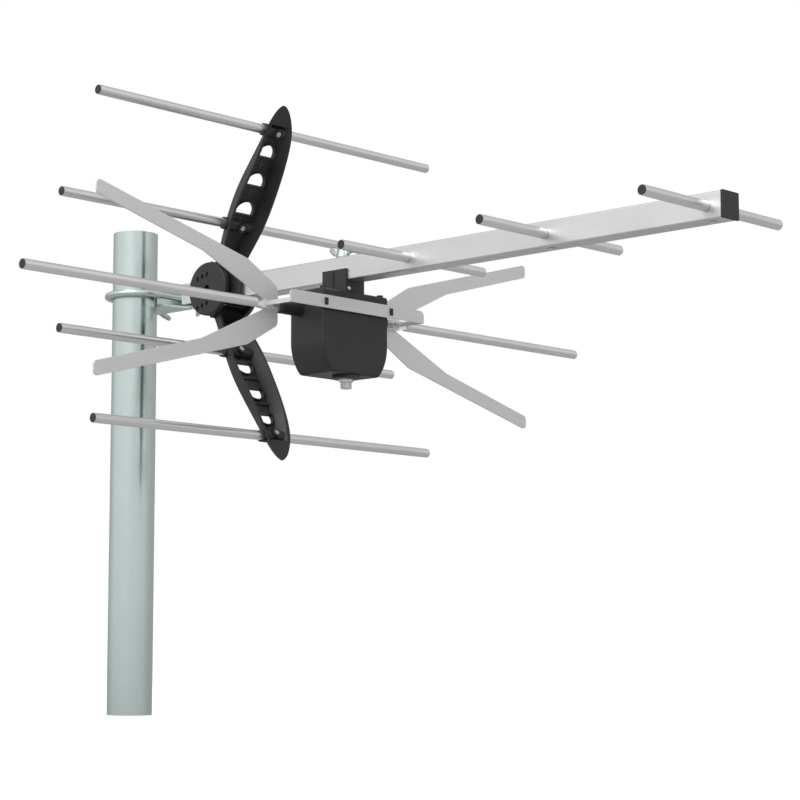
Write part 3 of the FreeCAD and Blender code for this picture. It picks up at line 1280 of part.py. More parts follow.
for make in (mast_tube, u_bolt, clamp_jaw, mast_bracket, clamp_fasteners, reflector_hub, hub_fasteners,
             reflector_arm, reflector_rods, boom, boom_front_cap, directors, dipole_half, bowtie_sheet,
             coupling_bar, dipole_fasteners, balun_box, balun_lid, lid_gasket, lid_screws,
             saddle_fasteners, aerial_socket, board_parts):
    make()
document.recompute()
check_nodes()
write_nodes()
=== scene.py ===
from collections import namedtuple
import json
import math

import bpy
from mathutils import Euler, Matrix, Vector

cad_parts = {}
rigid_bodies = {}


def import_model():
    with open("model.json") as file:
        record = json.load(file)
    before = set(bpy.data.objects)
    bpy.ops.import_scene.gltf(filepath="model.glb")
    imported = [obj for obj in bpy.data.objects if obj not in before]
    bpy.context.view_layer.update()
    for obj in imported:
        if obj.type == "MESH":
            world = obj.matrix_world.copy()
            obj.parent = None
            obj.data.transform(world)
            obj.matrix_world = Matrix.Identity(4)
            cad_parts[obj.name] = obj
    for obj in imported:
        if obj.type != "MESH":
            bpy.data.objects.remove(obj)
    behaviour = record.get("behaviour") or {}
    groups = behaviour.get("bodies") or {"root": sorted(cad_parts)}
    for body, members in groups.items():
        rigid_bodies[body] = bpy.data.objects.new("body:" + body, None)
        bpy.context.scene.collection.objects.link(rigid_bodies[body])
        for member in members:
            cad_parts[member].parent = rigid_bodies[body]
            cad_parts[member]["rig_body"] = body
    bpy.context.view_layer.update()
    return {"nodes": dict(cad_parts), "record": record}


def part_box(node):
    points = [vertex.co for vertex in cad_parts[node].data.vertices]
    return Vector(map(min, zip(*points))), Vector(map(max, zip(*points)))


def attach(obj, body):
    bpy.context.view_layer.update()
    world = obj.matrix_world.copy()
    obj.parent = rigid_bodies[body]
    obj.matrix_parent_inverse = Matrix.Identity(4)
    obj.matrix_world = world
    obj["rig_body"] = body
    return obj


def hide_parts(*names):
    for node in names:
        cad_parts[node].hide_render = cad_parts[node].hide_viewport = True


# Outdoor television antenna on a short mast, dressed for a picture.
# +X runs along the boom to its front, +Y across it and +Z up the mast, in metres.
# A length that is multiplied by MM is in metres. A plain radius, pitch, edge or recess is in millimetres.

MM = 0.001
RIGHT_ANGLE = math.radians(90)
FORWARD = Vector((1, 0, 0))
UPWARD = Vector((0, 0, 1))
ACROSS = Vector((0, 1, 0))

# The camera, fitted to points of the photograph
FOCAL_LENGTH = 101.83
FILM_WIDTH = 36.0
CAMERA_PLACE = (1.5518, -1.3177, 0.0321)
CAMERA_AIM = (-0.67557, 0.72703, 0.12205)
CAMERA_ROLL = math.radians(-0.04)

# Places on the reflector arms
HUB_CENTRE = Vector((0.1184, 0.0, 0.366))
ARM_LEAN = math.radians(30.15)
ARM_REAR = 15.0 * MM
ARM_REAR_OUTSIDE = 0.4 * MM
ARM_REAR_INSIDE = 1.8 * MM
INSIDE_SKIN_START = 80.0 * MM
SQUARE_ON = 0.97

# Places on the clamp and the aerial socket, and the threads there
LEG_OFFSET = 27.0 * MM
LEG_HEIGHT = 374.7 * MM
LEG_END = 55.0 * MM
BOLT_RADIUS = 3.0
BOLT_PITCH = 1.0
BOLT_TURNS = 8
THREAD_OVERLAP = 0.2
SOCKET_END = Vector((0.267, 0.0, 0.2676))
SOCKET_RADIUS = 4.75
SOCKET_BORE = 2.4
SOCKET_PITCH = 0.794
SOCKET_TURNS = 7

# The small screw in the front of the saddle's block
SADDLE_FRONT = 277.0 * MM
SADDLE_SCREW_ACROSS = -7.4 * MM
SADDLE_SCREW_UP = 349.2 * MM
SADDLE_SCREW_RADIUS = 1.7
SADDLE_SCREW_HIGH = 1.2
SADDLE_SCREW_PROUD = 0.5
SADDLE_SCREW_SIDES = 32

# Form of a thread: its depth and its triangle's height for a pitch of one, then small lengths in
# millimetres, and how finely it is wound
THREAD_DEPTH = 0.55
TRIANGLE_HEIGHT = 0.866
CREST_BAND = 0.01
CORE_OVERLAP = 0.02
WINDING_STEPS = 28
CORE_SIDES = 40

# How the solids' meshes are joined, rounded and run together
WELD = 0.01 * MM
FINE_WELD = 0.002 * MM
FLAT_ANGLE = math.radians(0.6)
SMOOTH_ANGLE = math.radians(38)
THREAD_SMOOTH_ANGLE = math.radians(30)
SHARP_ANGLE = math.radians(32)
ARM_SHARP_ANGLE = math.radians(40)
HEAD_BAND = 0.02
CAST_VOXEL = 0.45
SETTLING_STRENGTH = 0.5
SETTLING_STEPS = 7
WING_ROOT = 8.2
WING_FULLNESS = 0.55
SADDLE_NUT_TURN = math.radians(8)

Recess = namedtuple("Recess", "reach width depth edge")
REFLECTOR_RECESS = Recess(1.3, 0.5, 0.8, 0.5)
DIPOLE_RECESS = Recess(1.9, 0.7, 1.3, 0.7)
LID_RECESS = Recess(1.6, 0.6, 1.0, 0.5)
HUB_RECESS = Recess(1.4, 0.5, 0.8, 0.4)
SADDLE_RECESS = Recess(0.9, 0.35, 0.4, 0.45)

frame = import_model()
NODES = frame["nodes"]


# Small helpers for work on a mesh

def clear_selection():
    if bpy.context.object and bpy.context.object.mode != "OBJECT":
        bpy.ops.object.mode_set(mode="OBJECT")
    bpy.ops.object.select_all(action="DESELECT")


def take(piece):
    """Makes a piece the only one selected."""
    clear_selection()
    piece.select_set(True)
    bpy.context.view_layer.objects.active = piece


def edit_all(piece):
    """Opens a piece for editing with all of its mesh selected."""
    take(piece)
    bpy.ops.object.mode_set(mode="EDIT")
    bpy.ops.mesh.select_all(action="SELECT")


def edit_none(piece, kind):
    """Leaves a piece with nothing of its mesh selected, ready for a choice of vertices, edges or faces."""
    take(piece)
    bpy.ops.object.mode_set(mode="EDIT")
    bpy.ops.mesh.select_mode(type=kind)
    bpy.ops.mesh.select_all(action="DESELECT")
    bpy.ops.object.mode_set(mode="OBJECT")


def finish_edit():
    bpy.ops.object.mode_set(mode="OBJECT")


def remove(piece):
    take(piece)
    bpy.ops.object.delete()


def apply_modifiers(piece):
    take(piece)
    for modifier in list(piece.modifiers):
        bpy.ops.object.modifier_apply(modifier=modifier.name)


def smooth(piece, angle=SMOOTH_ANGLE):
    take(piece)
    bpy.ops.object.shade_smooth_by_angle(angle=angle)


def place_in_mesh(piece):
    """Moves a piece's place, turn and size into its mesh."""
    take(piece)
    bpy.ops.object.transform_apply(location=True, rotation=True, scale=True)


def hand_over(piece, name, body, slot):
    """Names a finished piece, gives it its finish and lets it ride on its body."""
    place_in_mesh(piece)
    piece.name = name
    piece.data.name = name
    piece.data.materials.clear()
    piece.data.materials.append(MATERIALS[slot])
    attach(piece, body)


def show_for(piece, node_name):
    """Shows a finished piece in the place of its solid."""
    hand_over(piece, node_name + "_shown", NODES[node_name]["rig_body"], SLOT_OF[node_name])
    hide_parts(node_name)


def copy_of(node_name):
    """A copy of a solid's mesh with its loose triangles joined."""
    piece = bpy.data.objects.new(node_name + "_shown", NODES[node_name].data.copy())
    bpy.context.scene.collection.objects.link(piece)
    edit_all(piece)
    bpy.ops.mesh.remove_doubles(threshold=WELD)
    finish_edit()
    return piece


def loose_parts(piece):
    """Parts a group of alike fasteners into single ones."""
    edit_all(piece)
    bpy.ops.mesh.separate(type="LOOSE")
    finish_edit()
    return [part for part in bpy.context.selected_objects if part.type == "MESH"]


def joined(parts):
    clear_selection()
    for part in parts:
        part.select_set(True)
    bpy.context.view_layer.objects.active = parts[0]
    bpy.ops.object.join()
    return parts[0]


def take_away(piece, tool, label):
    """Cuts a tool's form out of a piece and removes the tool."""
    bite = piece.modifiers.new(label, "BOOLEAN")
    bite.operation = "DIFFERENCE"
    bite.solver = "EXACT"
    bite.object = tool
    apply_modifiers(piece)
    remove(tool)


def keep_below(piece, level, outward, close=True):
    """Takes off what lies past a plane, and closes the cut if asked."""
    edit_all(piece)
    bpy.ops.mesh.bisect(plane_co=level, plane_no=outward, clear_outer=True, use_fill=close)
    finish_edit()


def round_bar(radius, length, middle, sides=CORE_SIDES, turn=(0, 0, 0)):
    """A plain bar, upright unless it is turned; its radius and length are in millimetres."""
    clear_selection()
    bpy.ops.mesh.primitive_cylinder_add(vertices=sides, radius=radius * MM, depth=length * MM,
                                        location=middle, rotation=turn)
    bar = bpy.context.object
    place_in_mesh(bar)
    return bar


# Rounded, cast and relaid copies of the solids

def round_edges(piece, edge, segments=2, angle=SHARP_ANGLE):
    """Rounds the sharp edges and keeps the flat faces flat in the light."""
    bevel = piece.modifiers.new("rounded_edges", "BEVEL")
    bevel.width = edge * MM
    bevel.segments = segments
    bevel.limit_method = "ANGLE"
    bevel.angle_limit = angle
    bevel.use_clamp_overlap = True
    bevel.miter_outer = "MITER_ARC"
    apply_modifiers(piece)
    smooth(piece)
    level = piece.modifiers.new("flat_faces", "WEIGHTED_NORMAL")
    level.keep_sharp = True
    apply_modifiers(piece)


def soften(node_name, edge, segments=2):
    """A copy of a solid with its sharp edges rounded, shown in its place."""
    piece = copy_of(node_name)
    edit_all(piece)
    bpy.ops.mesh.dissolve_limited(angle_limit=FLAT_ANGLE)
    finish_edit()
    round_edges(piece, edge, segments)
    show_for(piece, node_name)


def arm_front(way):
    """Direction in which the front of an arm faces; way is 1 for the upper arm and -1 for the lower."""
    return Vector((math.cos(ARM_LEAN), 0, -way * math.sin(ARM_LEAN)))


def relay_rear_face(piece, way):
    """Lays the rear face of an arm again between its own edges, with the windows open."""
    front = arm_front(way)
    along = Vector((math.sin(ARM_LEAN), 0, way * math.cos(ARM_LEAN)))
    edit_none(piece, "FACE")
    for face in piece.data.polygons:
        ahead = (face.center - HUB_CENTRE).dot(front)
        facing = face.normal.dot(front)
        inside_skin = facing > SQUARE_ON and (face.center - HUB_CENTRE).dot(along) > INSIDE_SKIN_START
        near = -ARM_REAR - ARM_REAR_OUTSIDE < ahead < -ARM_REAR + ARM_REAR_INSIDE
        face.select = near and (facing < -SQUARE_ON or inside_skin)
    bpy.ops.object.mode_set(mode="EDIT")
    bpy.ops.mesh.delete(type="FACE")
    bpy.ops.mesh.select_mode(type="EDGE")
    bpy.ops.mesh.select_all(action="DESELECT")
    bpy.ops.mesh.select_non_manifold(extend=False, use_wire=False, use_boundary=True,
                                     use_multi_face=False, use_non_contiguous=False, use_verts=False)
    bpy.ops.mesh.fill(use_beauty=True)
    bpy.ops.mesh.select_all(action="SELECT")
    bpy.ops.mesh.normals_make_consistent(inside=False)
    finish_edit()


def thicken_wings(piece, axes):
    """Gives the wings of nuts the fullness of a casting; each axis is a point and a direction."""
    edit_none(piece, "VERT")
    for vertex in piece.data.vertices:
        reaches = []
        for point, direction in axes:
            offset = vertex.co - point
            reaches.append((offset - direction * offset.dot(direction)).length)
        vertex.select = min(reaches) > WING_ROOT * MM
    bpy.ops.object.mode_set(mode="EDIT")
    bpy.ops.transform.shrink_fatten(value=WING_FULLNESS * MM)
    finish_edit()


def cast(node_name, axes, turn=0.0):
    """A copy of a cast piece, its form run together as a casting's is, turned about its own middle."""
    piece = copy_of(node_name)
    flow = piece.modifiers.new("casting", "REMESH")
    flow.mode = "VOXEL"
    flow.voxel_size = CAST_VOXEL * MM
    flow.use_smooth_shade = True
    settle = piece.modifiers.new("draft_and_fillets", "SMOOTH")
    settle.factor = SETTLING_STRENGTH
    settle.iterations = SETTLING_STEPS
    apply_modifiers(piece)
    thicken_wings(piece, axes)
    if turn:
        low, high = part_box(node_name)
        middle = ((low[0] + high[0]) / 2, (low[1] + high[1]) / 2, low[2])
        edit_all(piece)
        bpy.ops.transform.rotate(value=turn, orient_axis="Z", center_override=middle)
        finish_edit()
    show_for(piece, node_name)


# Screws and threads

def head_centre(piece, outward):
    """Middle of the end face of a screw head that faces outward."""
    reach = max(vertex.co.dot(outward) for vertex in piece.data.vertices)
    on_top = [vertex.co for vertex in piece.data.vertices
              if vertex.co.dot(outward) > reach - HEAD_BAND * MM]
    return sum(on_top, Vector()) / len(on_top)


def cut_cross(piece, outward, recess):
    """Cuts the cross of a screwdriver's recess into a head."""
    centre = head_centre(piece, outward)
    lie = outward.to_track_quat("Z", "Y")
    for turn in (0, RIGHT_ANGLE):
        clear_selection()
        bpy.ops.mesh.primitive_cube_add(size=1.0)
        blade = bpy.context.object
        blade.scale = (2 * recess.reach * MM, recess.width * MM, 2 * recess.depth * MM)
        blade.rotation_euler = (lie @ Euler((0, 0, turn)).to_quaternion()).to_euler()
        blade.location = centre
        place_in_mesh(blade)
        take_away(piece, blade, "recess")


def by_place(part):
    """Sorts parts by the place of their first vertex."""
    return tuple(round(value, 5) for value in part.data.vertices[0].co)


def crossed_screws(node_name, recess, facing):
    """Screws with rounded heads and a cross recess; facing gives a screw's direction from its middle."""
    parts = loose_parts(copy_of(node_name))
    for part in sorted(parts, key=by_place):
        middle = sum((vertex.co for vertex in part.data.vertices), Vector()) / len(part.data.vertices)
        round_edges(part, recess.edge, 3)
        cut_cross(part, facing(middle), recess)
    show_for(joined(parts), node_name)


def thread_ridge(radius, pitch, turns):
    """The ridge of a thread: an open V wound about Z, trimmed level at both ends."""
    clear_selection()
    across = radius - THREAD_DEPTH * pitch * 2 / 3
    bpy.ops.mesh.primitive_circle_add(vertices=3, radius=pitch * MM / math.sqrt(3), fill_type="NOTHING",
                                      location=(0, across * MM, 0), rotation=(0, RIGHT_ANGLE, 0))
    ridge = bpy.context.object
    ridge.scale = (1.0, THREAD_DEPTH / TRIANGLE_HEIGHT, 1.0)
    place_in_mesh(ridge)
    crest = max(vertex.co.y for vertex in ridge.data.vertices)
    edit_none(ridge, "EDGE")
    for edge in ridge.data.edges:
        ends = [ridge.data.vertices[index].co.y for index in edge.vertices]
        edge.select = all(end < crest - CREST_BAND * MM for end in ends)
    bpy.ops.object.mode_set(mode="EDIT")
    bpy.ops.mesh.delete(type="EDGE_FACE")
    finish_edit()
    winding = ridge.modifiers.new("winding", "SCREW")
    winding.axis = "Z"
    winding.screw_offset = pitch * MM
    winding.iterations = turns
    winding.steps = WINDING_STEPS
    winding.render_steps = WINDING_STEPS
    winding.use_merge_vertices = True
    winding.merge_threshold = FINE_WELD
    apply_modifiers(ridge)
    keep_below(ridge, (0, 0, 0), -UPWARD, close=False)
    keep_below(ridge, (0, 0, pitch * turns * MM), UPWARD, close=False)
    return ridge


def thread(name, node_name, radius, pitch, turns, foot, outward, bore=0.0):
    """A helical thread on its core, from its foot outwards, with a bore if one is given."""
    ridge = thread_ridge(radius, pitch, turns)
    length = pitch * turns
    middle = (0, 0, length * MM / 2)
    core = round_bar(radius - THREAD_DEPTH * pitch + CORE_OVERLAP, length, middle)
    if bore:
        take_away(core, round_bar(bore, 3 * length, middle), "bore")
    stem = joined([core, ridge])
    edit_all(stem)
    bpy.ops.mesh.remove_doubles(threshold=FINE_WELD)
    bpy.ops.mesh.normals_make_consistent(inside=False)
    finish_edit()
    smooth(stem, THREAD_SMOOTH_ANGLE)
    stem.rotation_euler = outward.to_track_quat("Z", "Y").to_euler()
    stem.location = foot
    hand_over(stem, name, NODES[node_name]["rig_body"], SLOT_OF[node_name])


# Shader groups that several finishes share. Each looks up the object's own coordinates.

COLOUR, NUMBER, VECTOR = "NodeSocketColor", "NodeSocketFloat", "NodeSocketVector"
EFFECTS = [("Colour", COLOUR), ("Roughness", NUMBER), ("Height", NUMBER)]
FIRST_COLOUR, SECOND_COLOUR, MIXED_COLOUR = 6, 7, 2


def grey(value, warm=0.0):
    return (value + warm, value, value - warm, 1.0)


def new_group(name, inputs):
    """A group with the given inputs and the effects that a finish takes from it."""
    group = bpy.data.node_groups.new(name, "ShaderNodeTree")
    for label, kind, value in inputs:
        socket = group.interface.new_socket(name=label, in_out="INPUT", socket_type=kind)
        socket.default_value = value
    for label, kind in EFFECTS:
        group.interface.new_socket(name=label, in_out="OUTPUT", socket_type=kind)
    return group


def link(tree, source, target):
    tree.links.new(source, target)


def node(tree, kind, **values):
    made = tree.nodes.new(kind)
    for name, value in values.items():
        setattr(made, name, value)
    return made


def ramp(tree, source, low, high, low_value, high_value):
    """Carries a value from one range to another, without going past either end."""
    made = node(tree, "ShaderNodeMapRange", clamp=True)
    made.inputs["From Min"].default_value = low
    made.inputs["From Max"].default_value = high
    made.inputs["To Min"].default_value = low_value
    made.inputs["To Max"].default_value = high_value
    link(tree, source, made.inputs["Value"])
    return made.outputs["Result"]


def noise(tree, place, detail, scale=None):
    made = node(tree, "ShaderNodeTexNoise")
    made.inputs["Detail"].default_value = detail
    if scale:
        made.inputs["Scale"].default_value = scale
    link(tree, place, made.inputs["Vector"])
    return made


def mixed(tree, amount, first, second):
    """One colour carried towards another."""
    mix = node(tree, "ShaderNodeMix", data_type="RGBA")
    link(tree, amount, mix.inputs["Factor"])
    link(tree, first, mix.inputs[FIRST_COLOUR])
    link(tree, second, mix.inputs[SECOND_COLOUR])
    return mix.outputs[MIXED_COLOUR]


def summed(tree, first, second, factor=1.0):
    """A value times a factor, added to another."""
    made = node(tree, "ShaderNodeMath", operation="MULTIPLY_ADD")
    link(tree, first, made.inputs[0])
    made.inputs[1].default_value = factor
    link(tree, second, made.inputs[2])
    return made.outputs["Value"]


def drawn_metal_group():
    """Fine lines along a drawn or rolled part, with a slow cloudiness."""
    group = new_group("drawn_metal", [
        ("Stretch", VECTOR, (1.0, 1.0, 1.0)), ("Line Depth", NUMBER, 0.5), ("Colour", COLOUR, grey(0.8)),
        ("Shade", COLOUR, grey(0.6)), ("Roughness", NUMBER, 0.3)])
    inside = node(group, "NodeGroupInput")
    result = node(group, "NodeGroupOutput")
    place = node(group, "ShaderNodeTexCoord").outputs["Object"]
    stretch = node(group, "ShaderNodeVectorMath", operation="MULTIPLY")
    link(group, place, stretch.inputs[0])
    link(group, inside.outputs["Stretch"], stretch.inputs[1])
    lines = noise(group, stretch.outputs["Vector"], detail=6.0, scale=1.0).outputs["Fac"]
    cloud = noise(group, place, detail=3.0, scale=26.0).outputs["Fac"]
    clouded = mixed(group, ramp(group, cloud, 0.35, 0.75, 0.0, 0.55),
                    inside.outputs["Colour"], inside.outputs["Shade"])
    streaked = mixed(group, ramp(group, lines, 0.3, 0.7, 0.0, 0.3), clouded, inside.outputs["Shade"])
    link(group, streaked, result.inputs["Colour"])
    rough = summed(group, ramp(group, lines, 0.3, 0.7, -0.06, 0.08), inside.outputs["Roughness"])
    link(group, rough, result.inputs["Roughness"])
    height = node(group, "ShaderNodeMath", operation="MULTIPLY")
    link(group, lines, height.inputs[0])
    link(group, inside.outputs["Line Depth"], height.inputs[1])
    link(group, height.outputs["Value"], result.inputs["Height"])
    return group


def moulded_group():
    """Fine spark-eroded grain of a moulding, with faint flow marks and rubbed patches."""
    group = new_group("moulded_plastic", [
        ("Colour", COLOUR, grey(0.03)), ("Rubbed", COLOUR, grey(0.06)), ("Roughness", NUMBER, 0.5),
        ("Grain Size", NUMBER, 1400.0)])
    inside = node(group, "NodeGroupInput")
    result = node(group, "NodeGroupOutput")
    place = node(group, "ShaderNodeTexCoord").outputs["Object"]
    grain = noise(group, place, detail=2.0)
    link(group, inside.outputs["Grain Size"], grain.inputs["Scale"])
    flow = noise(group, place, detail=4.0, scale=38.0).outputs["Fac"]
    rubbed = mixed(group, ramp(group, flow, 0.42, 0.75, 0.0, 1.0),
                   inside.outputs["Colour"], inside.outputs["Rubbed"])
    link(group, rubbed, result.inputs["Colour"])
    rough = summed(group, ramp(group, flow, 0.3, 0.7, -0.07, 0.07), inside.outputs["Roughness"])
    link(group, rough, result.inputs["Roughness"])
    link(group, grain.outputs["Fac"], result.inputs["Height"])
    return group


def spangle_group():
    """Crystal spangle of zinc, with a soft drift of colour."""
    group = new_group("zinc_spangle", [
        ("Colour", COLOUR, grey(0.6)), ("Tint", COLOUR, grey(0.5)), ("Roughness", NUMBER, 0.35),
        ("Crystal Size", NUMBER, 120.0)])
    inside = node(group, "NodeGroupInput")
    result = node(group, "NodeGroupOutput")
    place = node(group, "ShaderNodeTexCoord").outputs["Object"]
    crystal = node(group, "ShaderNodeTexVoronoi")
    link(group, place, crystal.inputs["Vector"])
    link(group, inside.outputs["Crystal Size"], crystal.inputs["Scale"])
    tone = node(group, "ShaderNodeSeparateColor")
    link(group, crystal.outputs["Color"], tone.inputs["Color"])
    drift = noise(group, place, detail=5.0, scale=14.0).outputs["Fac"]
    amount = summed(group, tone.outputs["Red"], ramp(group, drift, 0.3, 0.7, 0.0, 0.6), 0.28)
    tinted = mixed(group, amount, inside.outputs["Colour"], inside.outputs["Tint"])
    link(group, tinted, result.inputs["Colour"])
    rough = summed(group, tone.outputs["Green"], inside.outputs["Roughness"], 0.03)
    link(group, rough, result.inputs["Roughness"])
    link(group, drift, result.inputs["Height"])
    return group


# Finishes

METAL = 1.0
PLASTIC = 0.0
FINE_RELIEF = 0.05 * MM
SPANGLE_RELIEF = 0.2 * MM
LINE_DEPTH = 0.5
LINE_BUMP = 0.25
GRAIN_BUMP = 0.3
GRAIN_SIZE = 1400.0
SPANGLE_BUMP = 0.1


def shader(name, group, values, metallic, bump, distance=FINE_RELIEF):
    """A finish whose colour, roughness and relief come from one of the shared groups."""
    material = bpy.data.materials.new(name)
    material.use_nodes = True
    tree = material.node_tree
    surface = tree.nodes["Principled BSDF"]
    surface.inputs["Metallic"].default_value = metallic
    effect = node(tree, "ShaderNodeGroup", node_tree=group)
    for label, value in values.items():
        effect.inputs[label].default_value = value
    link(tree, effect.outputs["Colour"], surface.inputs["Base Color"])
    link(tree, effect.outputs["Roughness"], surface.inputs["Roughness"])
    if bump == 0:
        return material
    relief = node(tree, "ShaderNodeBump")
    relief.inputs["Strength"].default_value = bump
    relief.inputs["Distance"].default_value = distance
    link(tree, effect.outputs["Height"], relief.inputs["Height"])
    link(tree, relief.outputs["Normal"], surface.inputs["Normal"])
    return material


DRAWN = drawn_metal_group()
MOULDED = moulded_group()
SPANGLE = spangle_group()


def drawn(name, stretch, colour, shade, roughness):
    values = {"Stretch": stretch, "Line Depth": LINE_DEPTH, "Colour": colour, "Shade": shade,
              "Roughness": roughness}
    return shader(name, DRAWN, values, METAL, LINE_BUMP)


def moulded(name, colour, rubbed, roughness, bump=GRAIN_BUMP, size=GRAIN_SIZE, metallic=PLASTIC):
    values = {"Colour": colour, "Rubbed": rubbed, "Roughness": roughness, "Grain Size": size}
    return shader(name, MOULDED, values, metallic, bump)


def zinc(name, colour, tint, roughness, size, bump=SPANGLE_BUMP):
    values = {"Colour": (*colour, 1), "Tint": (*tint, 1), "Roughness": roughness, "Crystal Size": size}
    return shader(name, SPANGLE, values, METAL, bump, SPANGLE_RELIEF)


MATERIALS = {
    "galvanised_mast": zinc("galvanised_mast", (0.60, 0.69, 0.675), (0.565, 0.652, 0.637), 0.22, 240.0, 0),
    "zinc_plated": zinc("zinc_plated", (0.70, 0.77, 0.745), (0.60, 0.67, 0.65), 0.28, 420.0),
    "zinc_cast": zinc("zinc_cast", (0.64, 0.72, 0.69), (0.54, 0.61, 0.59), 0.38, 520.0),
    "dark_steel": moulded("dark_steel", grey(0.05), grey(0.09), 0.4, 0.2, 1800.0, METAL),
    "black_plastic": moulded("black_plastic", grey(0.015), grey(0.021), 0.46),
    "plug_plastic": moulded("plug_plastic", grey(0.016), grey(0.024), 0.45),
    "cap_plastic": moulded("cap_plastic", grey(0.015), grey(0.022), 0.44),
    "rod_aluminium": drawn("rod_aluminium", (900.0, 6.0, 900.0), grey(0.88), grey(0.78), 0.36),
    "boom_aluminium": drawn("boom_aluminium", (5.0, 1100.0, 1100.0), grey(0.74), grey(0.62), 0.36),
    "sheet_aluminium": drawn("sheet_aluminium", (700.0, 9.0, 700.0), grey(0.78), grey(0.73), 0.55),
    "rivet_aluminium": drawn("rivet_aluminium", (600.0, 600.0, 60.0), grey(0.80), grey(0.66), 0.28),
    "seal_rubber": moulded("seal_rubber", grey(0.015), grey(0.02), 0.75),
    "nickel_brass": drawn("nickel_brass", (700.0, 700.0, 120.0), grey(0.86, 0.005), grey(0.74, 0.01), 0.38),
    "white_insulator": moulded("white_insulator", grey(0.78, 0.01), grey(0.70, 0.01), 0.5),
    "bare_brass": drawn("bare_brass", (300.0, 300.0, 40.0), (0.78, 0.57, 0.25, 1), (0.6, 0.42, 0.16, 1), 0.3),
    "board_laminate": moulded("board_laminate", (0.42, 0.33, 0.14, 1), (0.32, 0.25, 0.1, 1), 0.5),
    "ferrite": moulded("ferrite", grey(0.05), grey(0.07), 0.6),
}
SLOT_OF = {entry["node"]: entry["material_slot"] for entry in frame["record"]["subparts"]}
# The photograph shows the lid's screws dark.
SLOT_OF["lid_screws"] = "dark_steel"

for name, solid in NODES.items():
    solid.data.materials.clear()
    solid.data.materials.append(MATERIALS[SLOT_OF[name]])


# The pieces that are shown in the place of their solids. A rounded edge is given in millimetres, with
# the number of steps round it.

PLATES_AND_MOULDINGS = [
    ("balun_lid", 0.4, 2), ("balun_box", 0.4, 2), ("boom_front_cap", 0.5, 3), ("coupling_strip", 0.25, 2),
    ("bowtie_left", 0.3, 2), ("bowtie_right", 0.3, 2), ("clamp_jaw", 0.4, 2), ("mast_bracket", 0.4, 2)]
SMALL_PARTS = [
    ("reflector_end_plugs", 0.45, 3), ("director_end_plugs", 0.45, 3), ("dipole_end_plugs", 0.45, 3),
    ("director_rivets", 0.5, 3), ("connector_collar", 0.5, 3), ("connector_nut", 0.25, 2)]
HUB_EDGE = 0.5
ARM_EDGE = 0.35


def reflector_mouldings():
    soften("reflector_hub", HUB_EDGE)
    for node_name, way in (("upper_reflector_arm", 1), ("lower_reflector_arm", -1)):
        arm = copy_of(node_name)
        relay_rear_face(arm, way)
        round_edges(arm, ARM_EDGE, 2, ARM_SHARP_ANGLE)
        show_for(arm, node_name)


def wing_nuts():
    clamp_axes = [(Vector((way * LEG_OFFSET, 0, LEG_HEIGHT)), ACROSS) for way in (-1, 1)]
    cast("u_bolt_wing_nuts", clamp_axes)
    low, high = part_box("saddle_bolt")
    saddle_axis = Vector(((low[0] + high[0]) / 2, 0, 0))
    cast("saddle_wing_nut", [(saddle_axis, UPWARD)], SADDLE_NUT_TURN)


def screws():
    def off_the_arm(middle):
        return arm_front(1 if middle.z > HUB_CENTRE.z else -1)

    crossed_screws("reflector_screws", REFLECTOR_RECESS, off_the_arm)
    crossed_screws("dipole_screws", DIPOLE_RECESS, lambda middle: FORWARD)
    crossed_screws("lid_screws", LID_RECESS, lambda middle: UPWARD)
    crossed_screws("hub_screw", HUB_RECESS, lambda middle: UPWARD)


def threaded_u_bolt():
    thread_start = LEG_END - BOLT_PITCH * BOLT_TURNS * MM
    bend = copy_of("u_bolt")
    keep_below(bend, (0, thread_start + THREAD_OVERLAP * MM, 0), ACROSS)
    smooth(bend)
    show_for(bend, "u_bolt")
    for name, way in (("u_bolt_thread_rear", -1), ("u_bolt_thread_front", 1)):
        foot = (way * LEG_OFFSET, thread_start, LEG_HEIGHT)
        thread(name, "u_bolt", BOLT_RADIUS, BOLT_PITCH, BOLT_TURNS, foot, ACROSS)


def threaded_socket():
    shell = copy_of("f_connector")
    keep_below(shell, SOCKET_END + UPWARD * (SOCKET_PITCH * SOCKET_TURNS * MM), -UPWARD)
    smooth(shell)
    show_for(shell, "f_connector")
    thread("socket_thread", "f_connector", SOCKET_RADIUS, SOCKET_PITCH, SOCKET_TURNS, SOCKET_END, UPWARD,
           SOCKET_BORE)


def saddle_screw():
    """Pan screw in the front of the saddle's block, beside its near cheek."""
    middle = (SADDLE_FRONT + SADDLE_SCREW_PROUD * MM, SADDLE_SCREW_ACROSS, SADDLE_SCREW_UP)
    head = round_bar(SADDLE_SCREW_RADIUS, SADDLE_SCREW_HIGH, middle, SADDLE_SCREW_SIDES,
                     (0, RIGHT_ANGLE, 0))
    round_edges(head, SADDLE_RECESS.edge, 3)
    cut_cross(head, FORWARD, SADDLE_RECESS)
    hand_over(head, "saddle_screw", NODES["balun_lid"]["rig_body"], "zinc_plated")


reflector_mouldings()
for node_name, edge, steps in PLATES_AND_MOULDINGS:
    soften(node_name, edge, steps)
wing_nuts()
for node_name, edge, steps in SMALL_PARTS:
    soften(node_name, edge, steps)
screws()
threaded_u_bolt()
threaded_socket()
saddle_screw()


# Studio

Lamp = namedtuple("Lamp", "place size power")
LIT_MIDDLE = Vector((0.3, 0.0, 0.35))
KEY_LIGHT = Lamp((0.4, -2.0, 1.9), (1.8, 1.2), 26)
FRONT_FILL = Lamp((2.6, -0.3, 1.2), (1.4, 1.4), 8)

